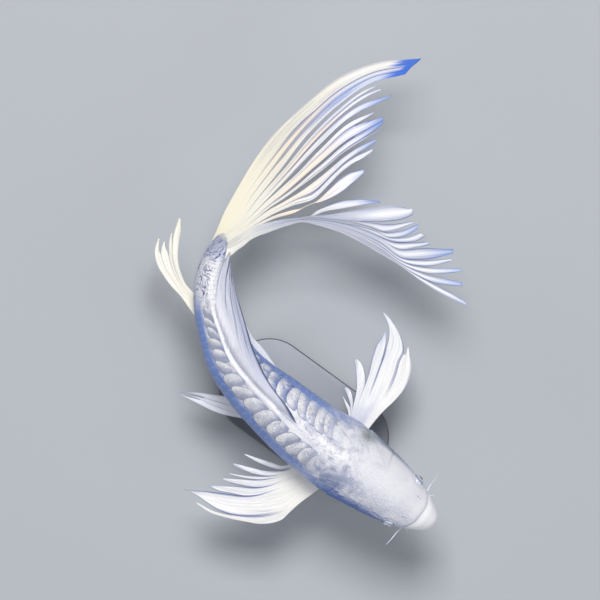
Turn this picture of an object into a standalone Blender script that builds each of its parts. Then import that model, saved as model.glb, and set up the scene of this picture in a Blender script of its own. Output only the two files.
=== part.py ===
"""A long-finned koi carp, life size, held in a left-hand turn on a plain display stand.

The fish is laid out in its own frame, in millimetres: +X ahead, +Y to its left, +Z up, with the
spine at Z = 0. HANG then lifts it over the stand, whose base has its underside at Z = 0. Each part
of the body is a loft of oval sections along the spine, and each fin is a fan of rays: a thin
sheet near the body, split into tapering fingers further out.
"""

import math

import bmesh
import bpy
import numpy as np
from mathutils import Vector

MM = 0.001
GAP = 0.3  # between pieces that touch
HANG = Vector((1.5, -9.0, 142.0))  # from the stand's centre to the fish's own origin

# The spine from the snout back, as seen from above.
SPINE = [
    (173, -1, 0),
    (130, -1, 0),
    (90, -1, 0),
    (50, -1.4, 0),
    (10, -2, 0),
    (-30, 1, 0),
    (-65, 4.5, 0),
    (-94, 12, 0),
    (-128, 33.5, 0),
    (-151, 51.5, 0),
    (-167, 72.5, 1),
    (-174.5, 91.7, 2),
    (-179, 112, 3),
    (-182, 130, 4),
]

# Sections: distance from the snout, half width, height over the spine, depth under it, and roll
# in degrees, which leans the back towards the fish's left.
SECTIONS = [
    (2, 8.5, 6.5, 7.5, 0),
    (9, 14.5, 12.5, 12, 0),
    (17, 19.5, 18, 16, 0),
    (28, 25, 24, 21, 0),
    (46, 31, 33, 28, 0),
    (70, 36, 41, 36, 0),
    (95, 39.3, 47, 43, 0),
    (117, 41.3, 50.5, 47, 0),
    (150, 38.8, 53, 50, 0),
    (182, 36.8, 52.5, 49.5, 0),
    (220, 33, 48, 44, 4),
    (252, 28.6, 42, 37.5, 6),
    (290, 25, 34.5, 30.5, 6),
    (320, 21.6, 29, 26, 7),
    (340, 18.4, 26, 23, 10),
    (360, 15.2, 23.5, 21, 14),
    (382, 11, 21.5, 20, 20),
    (404, 6.2, 20, 19.5, 26),
    (410, 4, 18.5, 18, 28),
]
SNOUT_FRONT = 2.0  # the first section; the snout rounds off ahead of it
TAIL_END = 408.0
AROUND = 32  # points round a section
CROWDING = 2.6  # how much the head's rings crowd towards the snout
FIRST_RING = 0.35  # how far the first ring is from the snout, in ring spacings

# Where the body is divided: distances from the snout.
SHOULDER = 168.0
VENT = 322.0

# The gill covers' rear edge is the line where the head ends.
GILL_SIDE = 110.0
GILL_TOP = 100.0
GILL_THROAT = 66.0

FIN_EDGE = 0.7  # a fin's thickness, away from its root
FIN_THINNING = 2.2  # a fin has its edge thickness at one share of its length in this many
TIP_ROUNDING = 1.5  # the power by which a finger narrows, and a root thins
LAST_ROW = 0.35  # a finger's last row is at least this many steps before its tip
FIN_SPRING = 9.0  # how far past the flank the folded back fin would come down

EYE_RADIUS = 6.8
EYE_FROM_SNOUT = 41.0
EYE_SIDE = 24.8
EYE_UP = 9.5

WHITE = (0.86, 0.87, 0.92)
CREAM = (0.93, 0.91, 0.80)
EYE_DARK = (0.03, 0.03, 0.05)
STAND_GREY = (0.62, 0.63, 0.65)


# ---------------------------------------------------------------- smooth tables and the spine


class Smooth:
    """A smooth curve through the rows of a table, whose first column is the place of each row."""

    def __init__(self, rows):
        table = np.array(rows, float)
        self.places = table[:, 0]
        self.values = table[:, 1:]
        self.slopes = np.gradient(self.values, self.places, axis=0)
        self.end = self.places[-1]

    def __call__(self, x):
        i = int(np.clip(np.searchsorted(self.places, x) - 1, 0, len(self.places) - 2))
        step = self.places[i + 1] - self.places[i]
        t = (x - self.places[i]) / step
        t2, t3 = t * t, t * t * t
        return (
            (2 * t3 - 3 * t2 + 1) * self.values[i]
            + (t3 - 2 * t2 + t) * step * self.slopes[i]
            + (3 * t2 - 2 * t3) * self.values[i + 1]
            + (t3 - t2) * step * self.slopes[i + 1]
        )


def by_length(points):
    """The same points, each after its distance along the line, as a table for Smooth."""
    line = np.array(points, float)
    steps = np.linalg.norm(np.diff(line, axis=0), axis=1)
    return np.column_stack([np.concatenate([[0], np.cumsum(steps)]), line])


SPINE_LINE = Smooth(by_length(SPINE))
SECTION_LINE = Smooth(SECTIONS)


def spine_frame(distance):
    """The spine's point, and the directions to the fish's left and up, before its roll."""
    here = Vector(SPINE_LINE(distance))
    ahead = Vector(SPINE_LINE(distance - 1)) - Vector(SPINE_LINE(distance + 1))
    left = Vector((0, 0, 1)).cross(ahead).normalized()
    up = ahead.cross(left).normalized()
    return here, left, up


def section(distance):
    """Half width, height, depth and roll at a distance from the snout."""
    if distance >= SNOUT_FRONT:
        return SECTION_LINE(distance)
    width, height, depth, roll = SECTIONS[0][1:]
    closing = math.sqrt(max(0, 1 - (1 - distance / SNOUT_FRONT) ** 2))
    return width * closing, height * closing, depth * closing, roll


def rolled_frame(distance):
    """The spine's point, and the body's own directions across and upward there."""
    here, left, up = spine_frame(distance)
    lean = math.radians(section(distance)[3])
    across = left * math.cos(lean) - up * math.sin(lean)
    upward = up * math.cos(lean) + left * math.sin(lean)
    return here, across, upward


def skin_point(distance, angle, grow=0.0):
    """A point on the body. The angle is 0 on the fish's left side and 90 degrees on its back."""
    here, across, upward = rolled_frame(distance)
    width, height, depth, _ = section(distance)
    tall = height if math.sin(angle) > 0 else depth
    side = (width + grow) * math.cos(angle)
    rise = (tall + grow) * math.sin(angle)
    return here + across * side + upward * rise


def over_back(distance, sideways, lift):
    """A point over the back that droops less than the flank does, as a folded fin lies."""
    here, across, upward = rolled_frame(distance)
    width, height, _, _ = section(distance)
    rise = (height + lift) * math.sqrt(1 - (sideways / (width + FIN_SPRING)) ** 2)
    return here + across * sideways + upward * rise


def gill_edge(angle):
    """Distance from the snout of the gill covers' rear edge, at an angle round the body."""
    sideways = abs(math.cos(angle))
    if math.sin(angle) >= 0:
        return GILL_TOP + (GILL_SIDE - GILL_TOP) * sideways**2
    return GILL_THROAT + (GILL_SIDE - GILL_THROAT) * sideways**0.8


# ---------------------------------------------------------------- making objects


def material(name, color, roughness=0.4, metallic=0.0):
    made = bpy.data.materials.new(name)
    made.use_nodes = True
    shader = made.node_tree.nodes["Principled BSDF"]
    shader.inputs["Base Color"].default_value = (*color, 1)
    shader.inputs["Roughness"].default_value = roughness
    shader.inputs["Metallic"].default_value = metallic
    return made


def place(name, points, faces, collection):
    """A mesh object from points in the fish's own frame."""
    mesh = bpy.data.meshes.new(name)
    mesh.from_pydata([(Vector(p) + HANG) * MM for p in points], [], faces)
    shape = bpy.data.objects.new(name, mesh)
    collection.objects.link(shape)
    mesh.shade_smooth()
    return shape


def finish(shape, finish_material):
    shape.data.materials.append(finish_material)
    shape.data.set_sharp_from_angle(angle=math.radians(50))


def cut(shape, cutter):
    difference = shape.modifiers.new("Cut " + cutter.name, "BOOLEAN")
    difference.object = cutter
    difference.operation = "DIFFERENCE"
    difference.solver = "EXACT"


def hide_cutter(cutter):
    cutter.hide_render = True
    cutter.display_type = "WIRE"


# ---------------------------------------------------------------- body


def level(distance):
    return lambda angle: distance


def rings_between(front, rear, count, nose=False):
    """Rings from one edge to another, each a distance from the snout that may change round the
    body. With nose, they crowd towards the front."""
    rings = []
    for i in range(count + 1):
        share = i / count
        if nose:
            along = (i + FIRST_RING) / (count + FIRST_RING)
            share = (math.exp(CROWDING * along) - 1) / (math.exp(CROWDING) - 1)
        rings.append(lambda angle, share=share: front(angle) + (rear(angle) - front(angle)) * share)
    return rings


def loft(name, rings, collection, grow=0.0, front_reach=0.0):
    """A closed length of the body through rings, its front pushed out by front_reach."""
    angles = [2 * math.pi * j / AROUND for j in range(AROUND)]
    points = [skin_point(ring(angle), angle, grow) for ring in rings for angle in angles]
    first = len(points)
    points.append(spine_frame(rings[0](0) - front_reach)[0])
    points.append(spine_frame(rings[-1](0))[0])
    faces = []
    last = (len(rings) - 1) * AROUND
    for j in range(AROUND):
        k = (j + 1) % AROUND
        faces.append((first, j, k))
        faces.append((first + 1, last + k, last + j))
        for row in range(0, last, AROUND):
            faces.append((row + j, row + AROUND + j, row + AROUND + k, row + k))
    return place(name, points, faces, collection)


def body(parts, cutters):
    pearl = material("pearl skin", WHITE, 0.35)
    rings = {
        "head": rings_between(level(0), gill_edge, 16, nose=True),
        "trunk_front": rings_between(lambda a: gill_edge(a) + GAP, level(SHOULDER), 8),
        "trunk_rear": rings_between(level(SHOULDER + GAP), level(VENT), 12),
        "tail_stalk": rings_between(level(VENT + GAP), level(TAIL_END), 9),
    }
    nose = rings["head"][0](0)
    for name, piece_rings in rings.items():
        piece = loft(name, piece_rings, parts, front_reach=nose if name == "head" else 0)
        finish(piece, pearl)
    all_rings = sum(rings.values(), []) + [level(TAIL_END + GAP)]
    room = loft("body_room", all_rings, cutters, GAP, nose + GAP)
    hide_cutter(room)
    return parts.objects["head"], room


def eyes(head, parts, cutters):
    dark = material("eye", EYE_DARK, 0.08)
    for side, name in ((1, "left"), (-1, "right")):
        here, left, up = spine_frame(EYE_FROM_SNOUT)
        centre = (here + left * EYE_SIDE * side + up * EYE_UP + HANG) * MM
        for label, radius, collection in (
            ("eye_" + name, EYE_RADIUS, parts),
            ("eye_socket_" + name, EYE_RADIUS + GAP, cutters),
        ):
            mesh = bpy.data.meshes.new(label)
            ball = bmesh.new()
            bmesh.ops.create_uvsphere(ball, u_segments=12, v_segments=8, radius=radius * MM)
            ball.to_mesh(mesh)
            ball.free()
            mesh.shade_smooth()
            shape = bpy.data.objects.new(label, mesh)
            shape.location = centre
            collection.objects.link(shape)
            if collection is parts:
                finish(shape, dark)
            else:
                hide_cutter(shape)
                cut(head, shape)


# ---------------------------------------------------------------- fins


def level_sheet(x, y, height):
    return x, y, height


def fan_column(rays, out, lie, settle):
    """The line across the fan that lies a share of the way out along its rays."""
    places = [ray[0] for ray in rays]
    spots = []
    for _, root_height, tip_height, line in rays:
        x, y = line(out * line.end)
        height = tip_height + (root_height - tip_height) * (1 - out) ** settle
        spots.append(lie(x, y, height))
    return lambda across: np.array([np.interp(across, places, values) for values in zip(*spots)])


def slit_width(slit, out):
    """How wide a slit is at a share of the way out. One that ends inside the fin is a window."""
    _, start, end, widest, spread = slit
    if out <= start or end < 1 and out >= end:
        return 0.0
    along = (out - start) / (end - start)
    width = widest * min(1.0, along / spread) ** 0.8
    if end < 1:
        width *= min(1.0, (1 - along) / spread) ** 0.8
    return width


def fan(name, rays, slits, fingers, steps, root_thick, parts, room, web, lie=level_sheet, settle=2):
    """A fin as a thickened fan, placed across from 0 to 1 and out from 0 to 1.
    A ray is (place across, root height, tip height, line seen from above).
    A slit is (place across, start, end, width, share of its length in which it opens).
    A finger lies between each two slits: (reach, width left at its tip, share of its reach where
    it starts to narrow, and whether its tip is at its first side, 0, its last side, 1, or between).
    lie turns a ray's numbers into a point, and settle says how soon it has its tip's height."""
    rays = [(across, low, high, Smooth(by_length(line))) for across, low, high, line in rays]
    slits = [(slit[0], round(slit[1] * steps) / steps, *slit[2:]) for slit in slits]
    corners = {}
    points, outs, faces = [], [], []

    def corner(key, across, out, column):
        if key not in corners:
            corners[key] = len(points)
            points.append(column(across))
            outs.append(out)
        return corners[key]

    def row(index, out, key):
        """The two edge points of a finger at a share of the way out."""
        column = fan_column(rays, out, lie, settle)
        reach, tip_share, shoulder, tip_place = fingers[index]
        edges, free = [], []
        for side in (0, 1):
            if index + side in (0, len(fingers)):
                edges.append(float(side))
                free.append(True)
                continue
            slit = slits[index + side - 1]
            spacing = np.linalg.norm(column(slit[0] + 0.01) - column(slit[0] - 0.01)) / 0.02
            half = slit_width(slit, out) / 2 / spacing
            edges.append(slit[0] + (half if side == 0 else -half))
            free.append(half > 0)
        past = max(0.0, out / reach - shoulder) / (1 - shoulder)
        width = 1 - (1 - tip_share) * min(1.0, past) ** TIP_ROUNDING
        anchor = edges[0] + (edges[1] - edges[0]) * tip_place
        edges = [anchor + (edge - anchor) * width if loose else edge for edge, loose in zip(edges, free)]
        names = [(index, side) if free[side] else index + side for side in (0, 1)]
        return [corner((names[side], key), edges[side], out, column) for side in (0, 1)]

    for index, (reach, *_) in enumerate(fingers):
        stops = [i for i in range(steps + 1) if i < reach * steps - LAST_ROW]
        rows = [row(index, i / steps, i) for i in stops] + [row(index, reach, ("tip", reach))]
        for (a, b), (c, d) in zip(rows, rows[1:]):
            faces.append((a, b, d, c))
    sheet = place(name, points, faces, parts)
    group = sheet.vertex_groups.new(name="thickness")
    for index, out in enumerate(outs):
        group.add([index], max(0.0, 1 - out * FIN_THINNING) ** TIP_ROUNDING, "REPLACE")
    thicken = sheet.modifiers.new("Thickness", "SOLIDIFY")
    thicken.thickness = root_thick * MM
    thicken.offset = 0
    thicken.vertex_group = "thickness"
    thicken.thickness_vertex_group = FIN_EDGE / root_thick
    cut(sheet, room)
    finish(sheet, web)


def pectoral_fins(parts, room, web):
    rays = [
        (0, -26, -34, [(60, 24), (62, 62), (65, 78), (66, 93), (64, 104), (58, 117), (50, 126), (44, 132),
            (36, 139), (26, 144), (18, 144)]),
        (0.24, -27, -35, [(57, 25), (56, 60), (53, 86), (49, 102), (45, 113), (43, 124), (35, 134),
            (25, 141), (18, 143)]),
        (0.42, -28, -36, [(54, 25), (51, 56), (45, 85), (37, 110), (30, 130), (18, 141), (0, 146)]),
        (0.6, -29, -35, [(51, 24), (46, 46), (40, 68), (33, 93), (27, 112), (20, 126), (14, 133)]),
        (0.78, -30, -33, [(48, 24), (40, 45), (34, 60), (30, 74), (26, 84), (18, 100), (13, 114),
            (11, 124)]),
        (0.9, -31, -32, [(44, 24), (38, 38), (34, 46), (29, 56), (21, 67), (11, 78), (4, 85)]),
        (0.96, -31, -32, [(42, 24), (36, 39), (31, 46), (25, 50), (16, 55)]),
        (1, -31, -32, [(40, 24), (34, 39), (27, 44), (18, 50)]),
    ]
    slits = [
        (0.24, 0.74, 1, 2, 0.6),
        (0.6, 0.7, 1, 1.6, 0.3),
        (0.78, 0.49, 1, 11, 1),
        (0.9, 0.33, 1, 6.5, 0.4),
        (0.96, 0.57, 1, 3, 0.6),
    ]
    fingers = [
        (0.79, 0.25, 0.85, 0.1),
        (1, 0.12, 0.8, 0.5),
        (0.98, 0.3, 0.88, 0.05),
        (0.94, 0.1, 0.5, 0.9),
        (0.98, 0.15, 0.3, 1),
        (0.98, 0.15, 0.5, 1),
    ]
    fan("pectoral_fin_left", rays, slits, fingers, 14, 4.0, parts, room, web)

    rays = [
        (0, -27, -35, [(56, -24), (56, -38), (52, -53), (48, -66), (45, -80), (43, -91), (37, -100),
            (29, -107), (14, -115), (-6, -124), (-21, -129), (-38, -130)]),
        (0.14, -28, -35, [(53, -25), (47, -39), (45, -62), (40, -82), (27, -98), (10, -111), (-3, -118),
            (-24, -124), (-37, -124), (-48, -124)]),
        (0.34, -29, -36, [(49, -26), (42, -38), (37, -58), (28, -74), (16, -88), (-2, -102), (-21, -112),
            (-40, -120), (-58, -126)]),
        (0.54, -30, -35, [(44, -26), (38, -39), (25, -61), (16, -74), (6, -87), (-4, -95), (-16, -101),
            (-30, -108), (-42, -112), (-53, -118)]),
        (0.68, -31, -34, [(40, -26), (32, -38), (20, -57), (12, -70), (2, -80), (-12, -88), (-27, -95),
            (-39, -99)]),
        (0.8, -31, -33, [(35, -26), (27, -38), (18, -52), (8, -64), (-1, -72), (-14, -80), (-29, -87),
            (-37, -91)]),
        (0.9, -31, -32, [(30, -26), (24, -37), (17, -50), (5, -63), (-6, -70), (-21, -77), (-36, -81)]),
        (0.96, -31, -32, [(26, -26), (22, -37), (14, -49), (3, -56), (-10, -61), (-23, -64), (-34, -66)]),
        (1, -31, -32, [(23, -26), (18, -36), (11, -45), (-2, -50), (-15, -54), (-30, -58)]),
    ]
    slits = [
        (0.14, 0.71, 1, 3.2, 0.6),
        (0.54, 0.61, 1, 2.6, 0.6),
        (0.68, 0.59, 1, 2.8, 0.6),
        (0.8, 0.59, 1, 2.2, 0.6),
        (0.9, 0.51, 1, 3.2, 0.6),
        (0.96, 0.34, 1, 5, 0.4),
    ]
    fingers = [
        (1, 0.2, 0.6, 0.05),
        (1, 0.1, 0.78, 0.5),
        (0.9, 0.35, 0.85, 0.3),
        (0.93, 0.25, 0.8, 0.35),
        (0.92, 0.2, 0.6, 0.3),
        (0.96, 0.2, 0.6, 0.45),
        (0.96, 0.2, 0.5, 0.8),
    ]
    fan("pectoral_fin_right", rays, slits, fingers, 14, 4.0, parts, room, web)


def pelvic_fins(parts, room, web):
    """The right fin is spread; the left one lies back along the belly and shows at its edge."""
    right = [
        (0, -32, -58, [(-16, -11), (-53, -31), (-73, -40), (-84, -43), (-96, -45), (-123, -49)]),
        (0.5, -32, -58, [(-25, -10), (-57, -27), (-85, -36), (-104, -41), (-120, -49)]),
        (1, -31, -56, [(-34, -9), (-62, -17), (-79, -22), (-88, -27), (-103, -35), (-122, -48)]),
    ]
    left = [
        (0, -32, -40, [(-16, 11), (-45, 29), (-64, 37), (-80, 42), (-92, 44), (-103, 49), (-121, 60)]),
        (0.5, -32, -42, [(-25, 10), (-58, 26), (-86, 34), (-119, 56)]),
        (1, -31, -43, [(-34, 9), (-64, 18), (-88, 26), (-114, 48)]),
    ]
    slits = [
        (0.4, 0.78, 1, 1.2, 0.8),
        (0.7, 0.74, 1, 1.4, 0.8),
    ]
    fingers = [
        (0.98, 0.2, 0.7, 0),
        (0.9, 0.2, 0.7, 0),
        (0.97, 0.2, 0.7, 0.95),
    ]
    fan("pelvic_fin_right", right, slits, fingers, 9, 3.0, parts, room, web)
    fan("pelvic_fin_left", left, slits, fingers, 9, 3.0, parts, room, web)


def anal_fin(parts, room, web):
    rays = [
        (0, -18, -28, [(-128, 22), (-157, 28), (-179, 35), (-194, 38), (-206, 42), (-217, 47), (-227, 56),
            (-233, 71)]),
        (0.22, -18, -29, [(-132, 26), (-160, 32), (-179, 38), (-196, 44), (-210, 50), (-223, 61),
            (-229, 74)]),
        (0.44, -18, -28, [(-135, 30), (-163, 36), (-184, 44), (-199, 51), (-212, 61), (-221, 72),
            (-227, 86)]),
        (0.7, -17, -27, [(-139, 35), (-167, 41), (-184, 47), (-197, 54), (-210, 65), (-220, 80),
            (-228, 101)]),
        (1, -16, -26, [(-144, 41), (-171, 46), (-181, 48), (-190, 53), (-203, 64), (-211, 76), (-218, 90),
            (-222, 100)]),
    ]
    slits = [
        (0.22, 0.85, 1, 3, 0.6),
        (0.44, 0.75, 1, 3, 0.6),
        (0.6, 0.72, 1, 2.2, 0.6),
    ]
    fingers = [
        (0.99, 0.3, 0.8, 0),
        (0.94, 0.3, 0.8, 0),
        (0.94, 0.3, 0.8, 0),
        (0.99, 0.45, 0.9, 0.3),
    ]
    fan("anal_fin", rays, slits, fingers, 12, 3.0, parts, room, web)


def dorsal_fin(parts, room, web):
    """Folded down over the left of the back. Its rays are (distance from the snout, sideways)."""
    rays = [
        (0, -2, 2.6, [(170, -1), (190, 5.6), (218, 9.3), (236, 13.1), (254, 18.2), (270, 21.3),
            (290, 23.9), (307, 24.7), (326, 25.3), (350, 23.3), (372, 17.4)]),
        (0.35, -2, 3.0, [(213, -1), (245, 5), (280, 12), (315, 17), (350, 18.5), (378, 16.8)]),
        (0.70, -2, 3.2, [(262, -1), (285, 6), (315, 9), (345, 12), (375, 14), (388, 14.6)]),
        (1.00, -2, 3.0, [(314, -2), (330, 1), (345, 4), (362, 6), (380, 9), (389, 12)]),
    ]
    slits = [(0.2, 0.86, 1, 1.6, 0.6), (0.42, 0.84, 1, 1.6, 0.6), (0.7, 0.82, 1, 1.4, 0.6)]
    fingers = [(0.97, 0.3, 0.8, 0.5), (1, 0.3, 0.8, 0.5), (0.96, 0.3, 0.8, 0.5), (1, 0.4, 0.8, 0.5)]
    fan("dorsal_fin", rays, slits, fingers, 14, 2.4, parts, room, web, over_back, 10)


def tail_fin(parts, room, web):
    """The tail fin turns from upright at the tail stalk to nearly flat, its lower lobe outside."""
    rays = [
        (0, -15, 5, [(-184, 96), (-187, 110), (-192, 130), (-196, 160), (-199, 195), (-198, 234),
            (-189, 277), (-176, 319), (-155, 350), (-121, 380)]),
        (0.4, -11, 4, [(-181, 97), (-178, 115), (-174, 134), (-173, 164), (-170, 206), (-168, 247),
            (-161, 288), (-147, 328), (-125, 355)]),
        (0.53, -9, 3, [(-179, 98), (-175, 115), (-170, 133), (-165, 164), (-158, 204), (-152, 245),
            (-143, 286), (-138, 296), (-132, 306), (-123, 322)]),
        (0.66, -8, 2, [(-178, 98), (-173, 115), (-166, 132), (-157, 162), (-149, 181), (-136, 220),
            (-125, 260), (-109, 297)]),
        (0.78, -6, 1, [(-177, 98), (-171, 114), (-163, 131), (-150, 159), (-138, 177), (-126, 191),
            (-120, 219), (-118, 233), (-114, 245), (-108, 254), (-101, 265)]),
        (0.88, -4, 0, [(-176, 98), (-169, 113), (-161, 130), (-145, 157), (-130, 173), (-127, 180),
            (-116, 195), (-109, 206), (-100, 217), (-89, 228), (-77, 236)]),
        (1, -2, -1, [(-175, 98), (-167, 112), (-158, 129), (-146, 146), (-126, 170), (-114, 186),
            (-111, 191), (-98, 205), (-83, 220), (-66, 235)]),
    ]
    slits = [
        (0.2, 0.42, 0.58, 1.6, 0.3),
        (0.29, 0.32, 0.66, 2.2, 0.3),
        (0.4, 0.27, 1, 3.2, 0.3),
        (0.445, 0.8, 1, 1.4, 0.6),
        (0.475, 0.48, 1, 1.8, 0.5),
        (0.53, 0.27, 1, 3.8, 0.3),
        (0.567, 0.84, 1, 3.2, 0.6),
        (0.615, 0.36, 0.8, 1.8, 0.3),
        (0.64, 0.88, 1, 1.2, 0.6),
        (0.66, 0.27, 1, 4.2, 0.3),
        (0.72, 0.74, 1, 1.6, 0.6),
        (0.78, 0.27, 1, 5.2, 0.4),
        (0.88, 0.27, 1, 4.6, 0.4),
    ]
    fingers = [
        (1, 1, 0.9, 0.05),
        (1, 1, 0.9, 0),
        (1, 0.9, 0.9, 0.7),
        (0.9, 0.3, 0.85, 0.35),
        (0.93, 0.3, 0.85, 0.1),
        (1, 0.2, 0.75, 0.5),
        (0.94, 0.35, 0.88, 0.55),
        (0.99, 0.5, 0.88, 1),
        (0.99, 0.5, 0.88, 0),
        (0.99, 0.35, 0.88, 0),
        (0.97, 0.35, 0.85, 0.45),
        (0.98, 0.35, 0.85, 0.1),
        (0.96, 0.12, 0.74, 0.15),
        (1, 0.3, 0.8, 0.75),
    ]
    fan("tail_fin_lower_lobe", rays, slits, fingers, 15, 3.4, parts, room, web)

    rays = [
        (0, 4, 4, [(-174, 99), (-170, 110), (-163, 129), (-148, 151.5), (-124, 176), (-103, 194),
            (-90, 207), (-76, 221), (-55.5, 240), (-33, 251)]),
        (0.2, 6, 3, [(-173, 99), (-168.5, 110), (-161.5, 128), (-147.5, 150.5), (-123.5, 175), (-91, 196),
            (-68, 210), (-45, 226), (-33, 238), (-20.5, 253.5)]),
        (0.32, 8, 2, [(-172, 100), (-167, 109), (-160, 127.5), (-146.5, 149), (-123.5, 174), (-82, 200),
            (-62, 208), (-47, 212.5), (-33.5, 225.5), (-23.5, 245)]),
        (0.44, 10, 0, [(-171, 100), (-166, 109), (-159, 127), (-146, 148), (-123.5, 173.5), (-80, 198),
            (-55, 208), (-39.5, 211), (-26.5, 221), (-16.5, 237)]),
        (0.6, 11, -3, [(-170, 100), (-165, 108), (-157.5, 126), (-145, 146.5), (-123, 172.5), (-79, 197),
            (-47, 205), (-24, 207), (-7, 221), (19.5, 241)]),
        (0.74, 13, -4, [(-169, 100), (-164, 107), (-156.5, 125.5), (-144, 145.5), (-123, 171.5),
            (-77, 194), (-44, 201), (-15, 202), (0, 211), (26, 233.5)]),
        (0.88, 14, -5, [(-166, 97), (-161, 107), (-155.5, 125), (-143.5, 144.5), (-123, 170.5),
            (-75, 191), (-40, 196), (-9, 197), (8, 201), (49.5, 224)]),
        (1, 16, -6, [(-164, 90), (-160.5, 100), (-158.5, 108), (-156, 115), (-154, 124), (-142.5, 143),
            (-130, 161), (-123, 169.5), (-104, 178.5), (-83.5, 185.5), (-61, 189.5), (-37, 192),
            (-13, 194), (13, 194), (37, 195.5), (68, 200)]),
    ]
    slits = [
        (0.2, 0.68, 1, 3.4, 0.5),
        (0.32, 0.81, 1, 2.6, 0.5),
        (0.44, 0.83, 1, 1.6, 0.6),
        (0.52, 0.8, 1, 1.4, 0.6),
        (0.6, 0.78, 1, 2.4, 0.6),
        (0.74, 0.8, 1, 1.2, 0.6),
        (0.81, 0.79, 1, 1.6, 0.6),
        (0.88, 0.78, 1, 5, 0.9),
        (0.95, 0.84, 1, 2.6, 0.6),
    ]
    fingers = [
        (0.98, 0.4, 0.88, 0.25),
        (1, 0.3, 0.85, 0),
        (0.99, 0.45, 0.88, 0.5),
        (0.98, 0.45, 0.88, 0.2),
        (0.94, 0.45, 0.88, 0),
        (1, 0.5, 0.9, 0.4),
        (0.99, 0.3, 0.85, 0.2),
        (1, 0.3, 0.85, 0.35),
        (0.98, 0.3, 0.85, 0.4),
        (1, 0.25, 0.85, 0.85),
    ]
    fan("tail_fin_upper_lobe", rays, slits, fingers, 15, 3.4, parts, room, web)


# ---------------------------------------------------------------- barbels


BARBEL_TIP = 0.45  # a feeler's radius at its tip, as a share of its radius at the root
BARBEL_POINTS = 6


def barbel(name, points, radius, parts, room, skin):
    """A feeler at the mouth: a tapering tube along a smooth line."""
    line = Smooth(by_length(points))
    curve = bpy.data.curves.new(name, "CURVE")
    curve.dimensions = "3D"
    curve.bevel_depth = radius * MM
    curve.bevel_resolution = 2
    curve.use_fill_caps = True
    spline = curve.splines.new("POLY")
    spline.points.add(BARBEL_POINTS - 1)
    for i in range(BARBEL_POINTS):
        share = i / (BARBEL_POINTS - 1)
        spot = (Vector(line(share * line.end)) + HANG) * MM
        spline.points[i].co = (*spot, 1)
        spline.points[i].radius = 1 - (1 - BARBEL_TIP) * share
    tube = bpy.data.objects.new(name + "_line", curve)
    parts.objects.link(tube)
    bpy.context.view_layer.update()
    seen = tube.evaluated_get(bpy.context.evaluated_depsgraph_get())
    mesh = bpy.data.meshes.new_from_object(seen)
    bpy.data.objects.remove(tube)
    welded = bmesh.new()
    welded.from_mesh(mesh)
    bmesh.ops.remove_doubles(welded, verts=welded.verts, dist=0.00002)
    welded.to_mesh(mesh)
    welded.free()
    mesh.materials.clear()
    shape = bpy.data.objects.new(name, mesh)
    parts.objects.link(shape)
    mesh.shade_smooth()
    cut(shape, room)
    finish(shape, skin)


def barbels(parts, room):
    skin = material("barbel skin", WHITE, 0.4)
    lines = {
        "long_left": [(150, 13, -9), (147.5, 20, -10), (146, 27, -9), (146, 35, -7), (144, 45, -5)],
        "long_right": [(150, -15, -9), (148, -22, -10), (146.5, -30, -9), (146, -39, -7), (145, -48, -5)],
        "short_left": [(151, 13, -8), (151.5, 18, -9), (154, 21.5, -9), (158, 22, -9)],
        "short_right": [(151, -15, -8), (151.5, -20, -9), (153, -23, -9), (155.5, -25.5, -9)],
    }
    for name, line in lines.items():
        barbel("barbel_" + name, line, 0.9 if name.startswith("long") else 0.7, parts, room, skin)


# ---------------------------------------------------------------- stand

BASE_LENGTH = 190.0
BASE_WIDTH = 104.0
BASE_THICK = 12.0
BASE_CORNER = 44.0
FRONT_ROD = 118.0  # each rod holds the belly at this distance from the snout
REAR_ROD = 252.0
ROD_RADIUS = 4.0
CRADLE_RADIUS = 8.0  # the flared top of a rod, which fits the belly
COLLAR_RADIUS = 9.0
COLLAR_HEIGHT = 6.0
CRADLE_TOP = 20.0  # depths under the spine: the rod's top is trimmed to the belly
CRADLE_START = 52.0
SHANK_TOP = 66.0


def stand(parts, room):
    metal = material("stand metal", STAND_GREY, 0.35, 0.6)
    mesh = bpy.data.meshes.new("stand_base")
    block = bmesh.new()
    bmesh.ops.create_cube(block, size=1)
    for corner in block.verts:
        corner.co.x *= BASE_LENGTH * MM
        corner.co.y *= BASE_WIDTH * MM
        corner.co.z = (corner.co.z + 0.5) * BASE_THICK * MM
    upright = [e for e in block.edges if abs(e.verts[0].co.z - e.verts[1].co.z) > 0.5 * BASE_THICK * MM]
    bmesh.ops.bevel(block, geom=upright, offset=BASE_CORNER * MM, segments=6, profile=0.5, affect="EDGES")
    top = [e for e in block.edges if min(v.co.z for v in e.verts) > 0.9 * BASE_THICK * MM]
    bmesh.ops.bevel(block, geom=top, offset=1.5 * MM, segments=2, profile=0.5, affect="EDGES")
    block.to_mesh(mesh)
    block.free()
    mesh.shade_smooth()
    base = bpy.data.objects.new("stand_base", mesh)
    parts.objects.link(base)
    finish(base, metal)
    for distance, name in ((FRONT_ROD, "front"), (REAR_ROD, "rear")):
        rod("stand_rod_" + name, spine_frame(distance)[0] + HANG, parts, room, metal)


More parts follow.
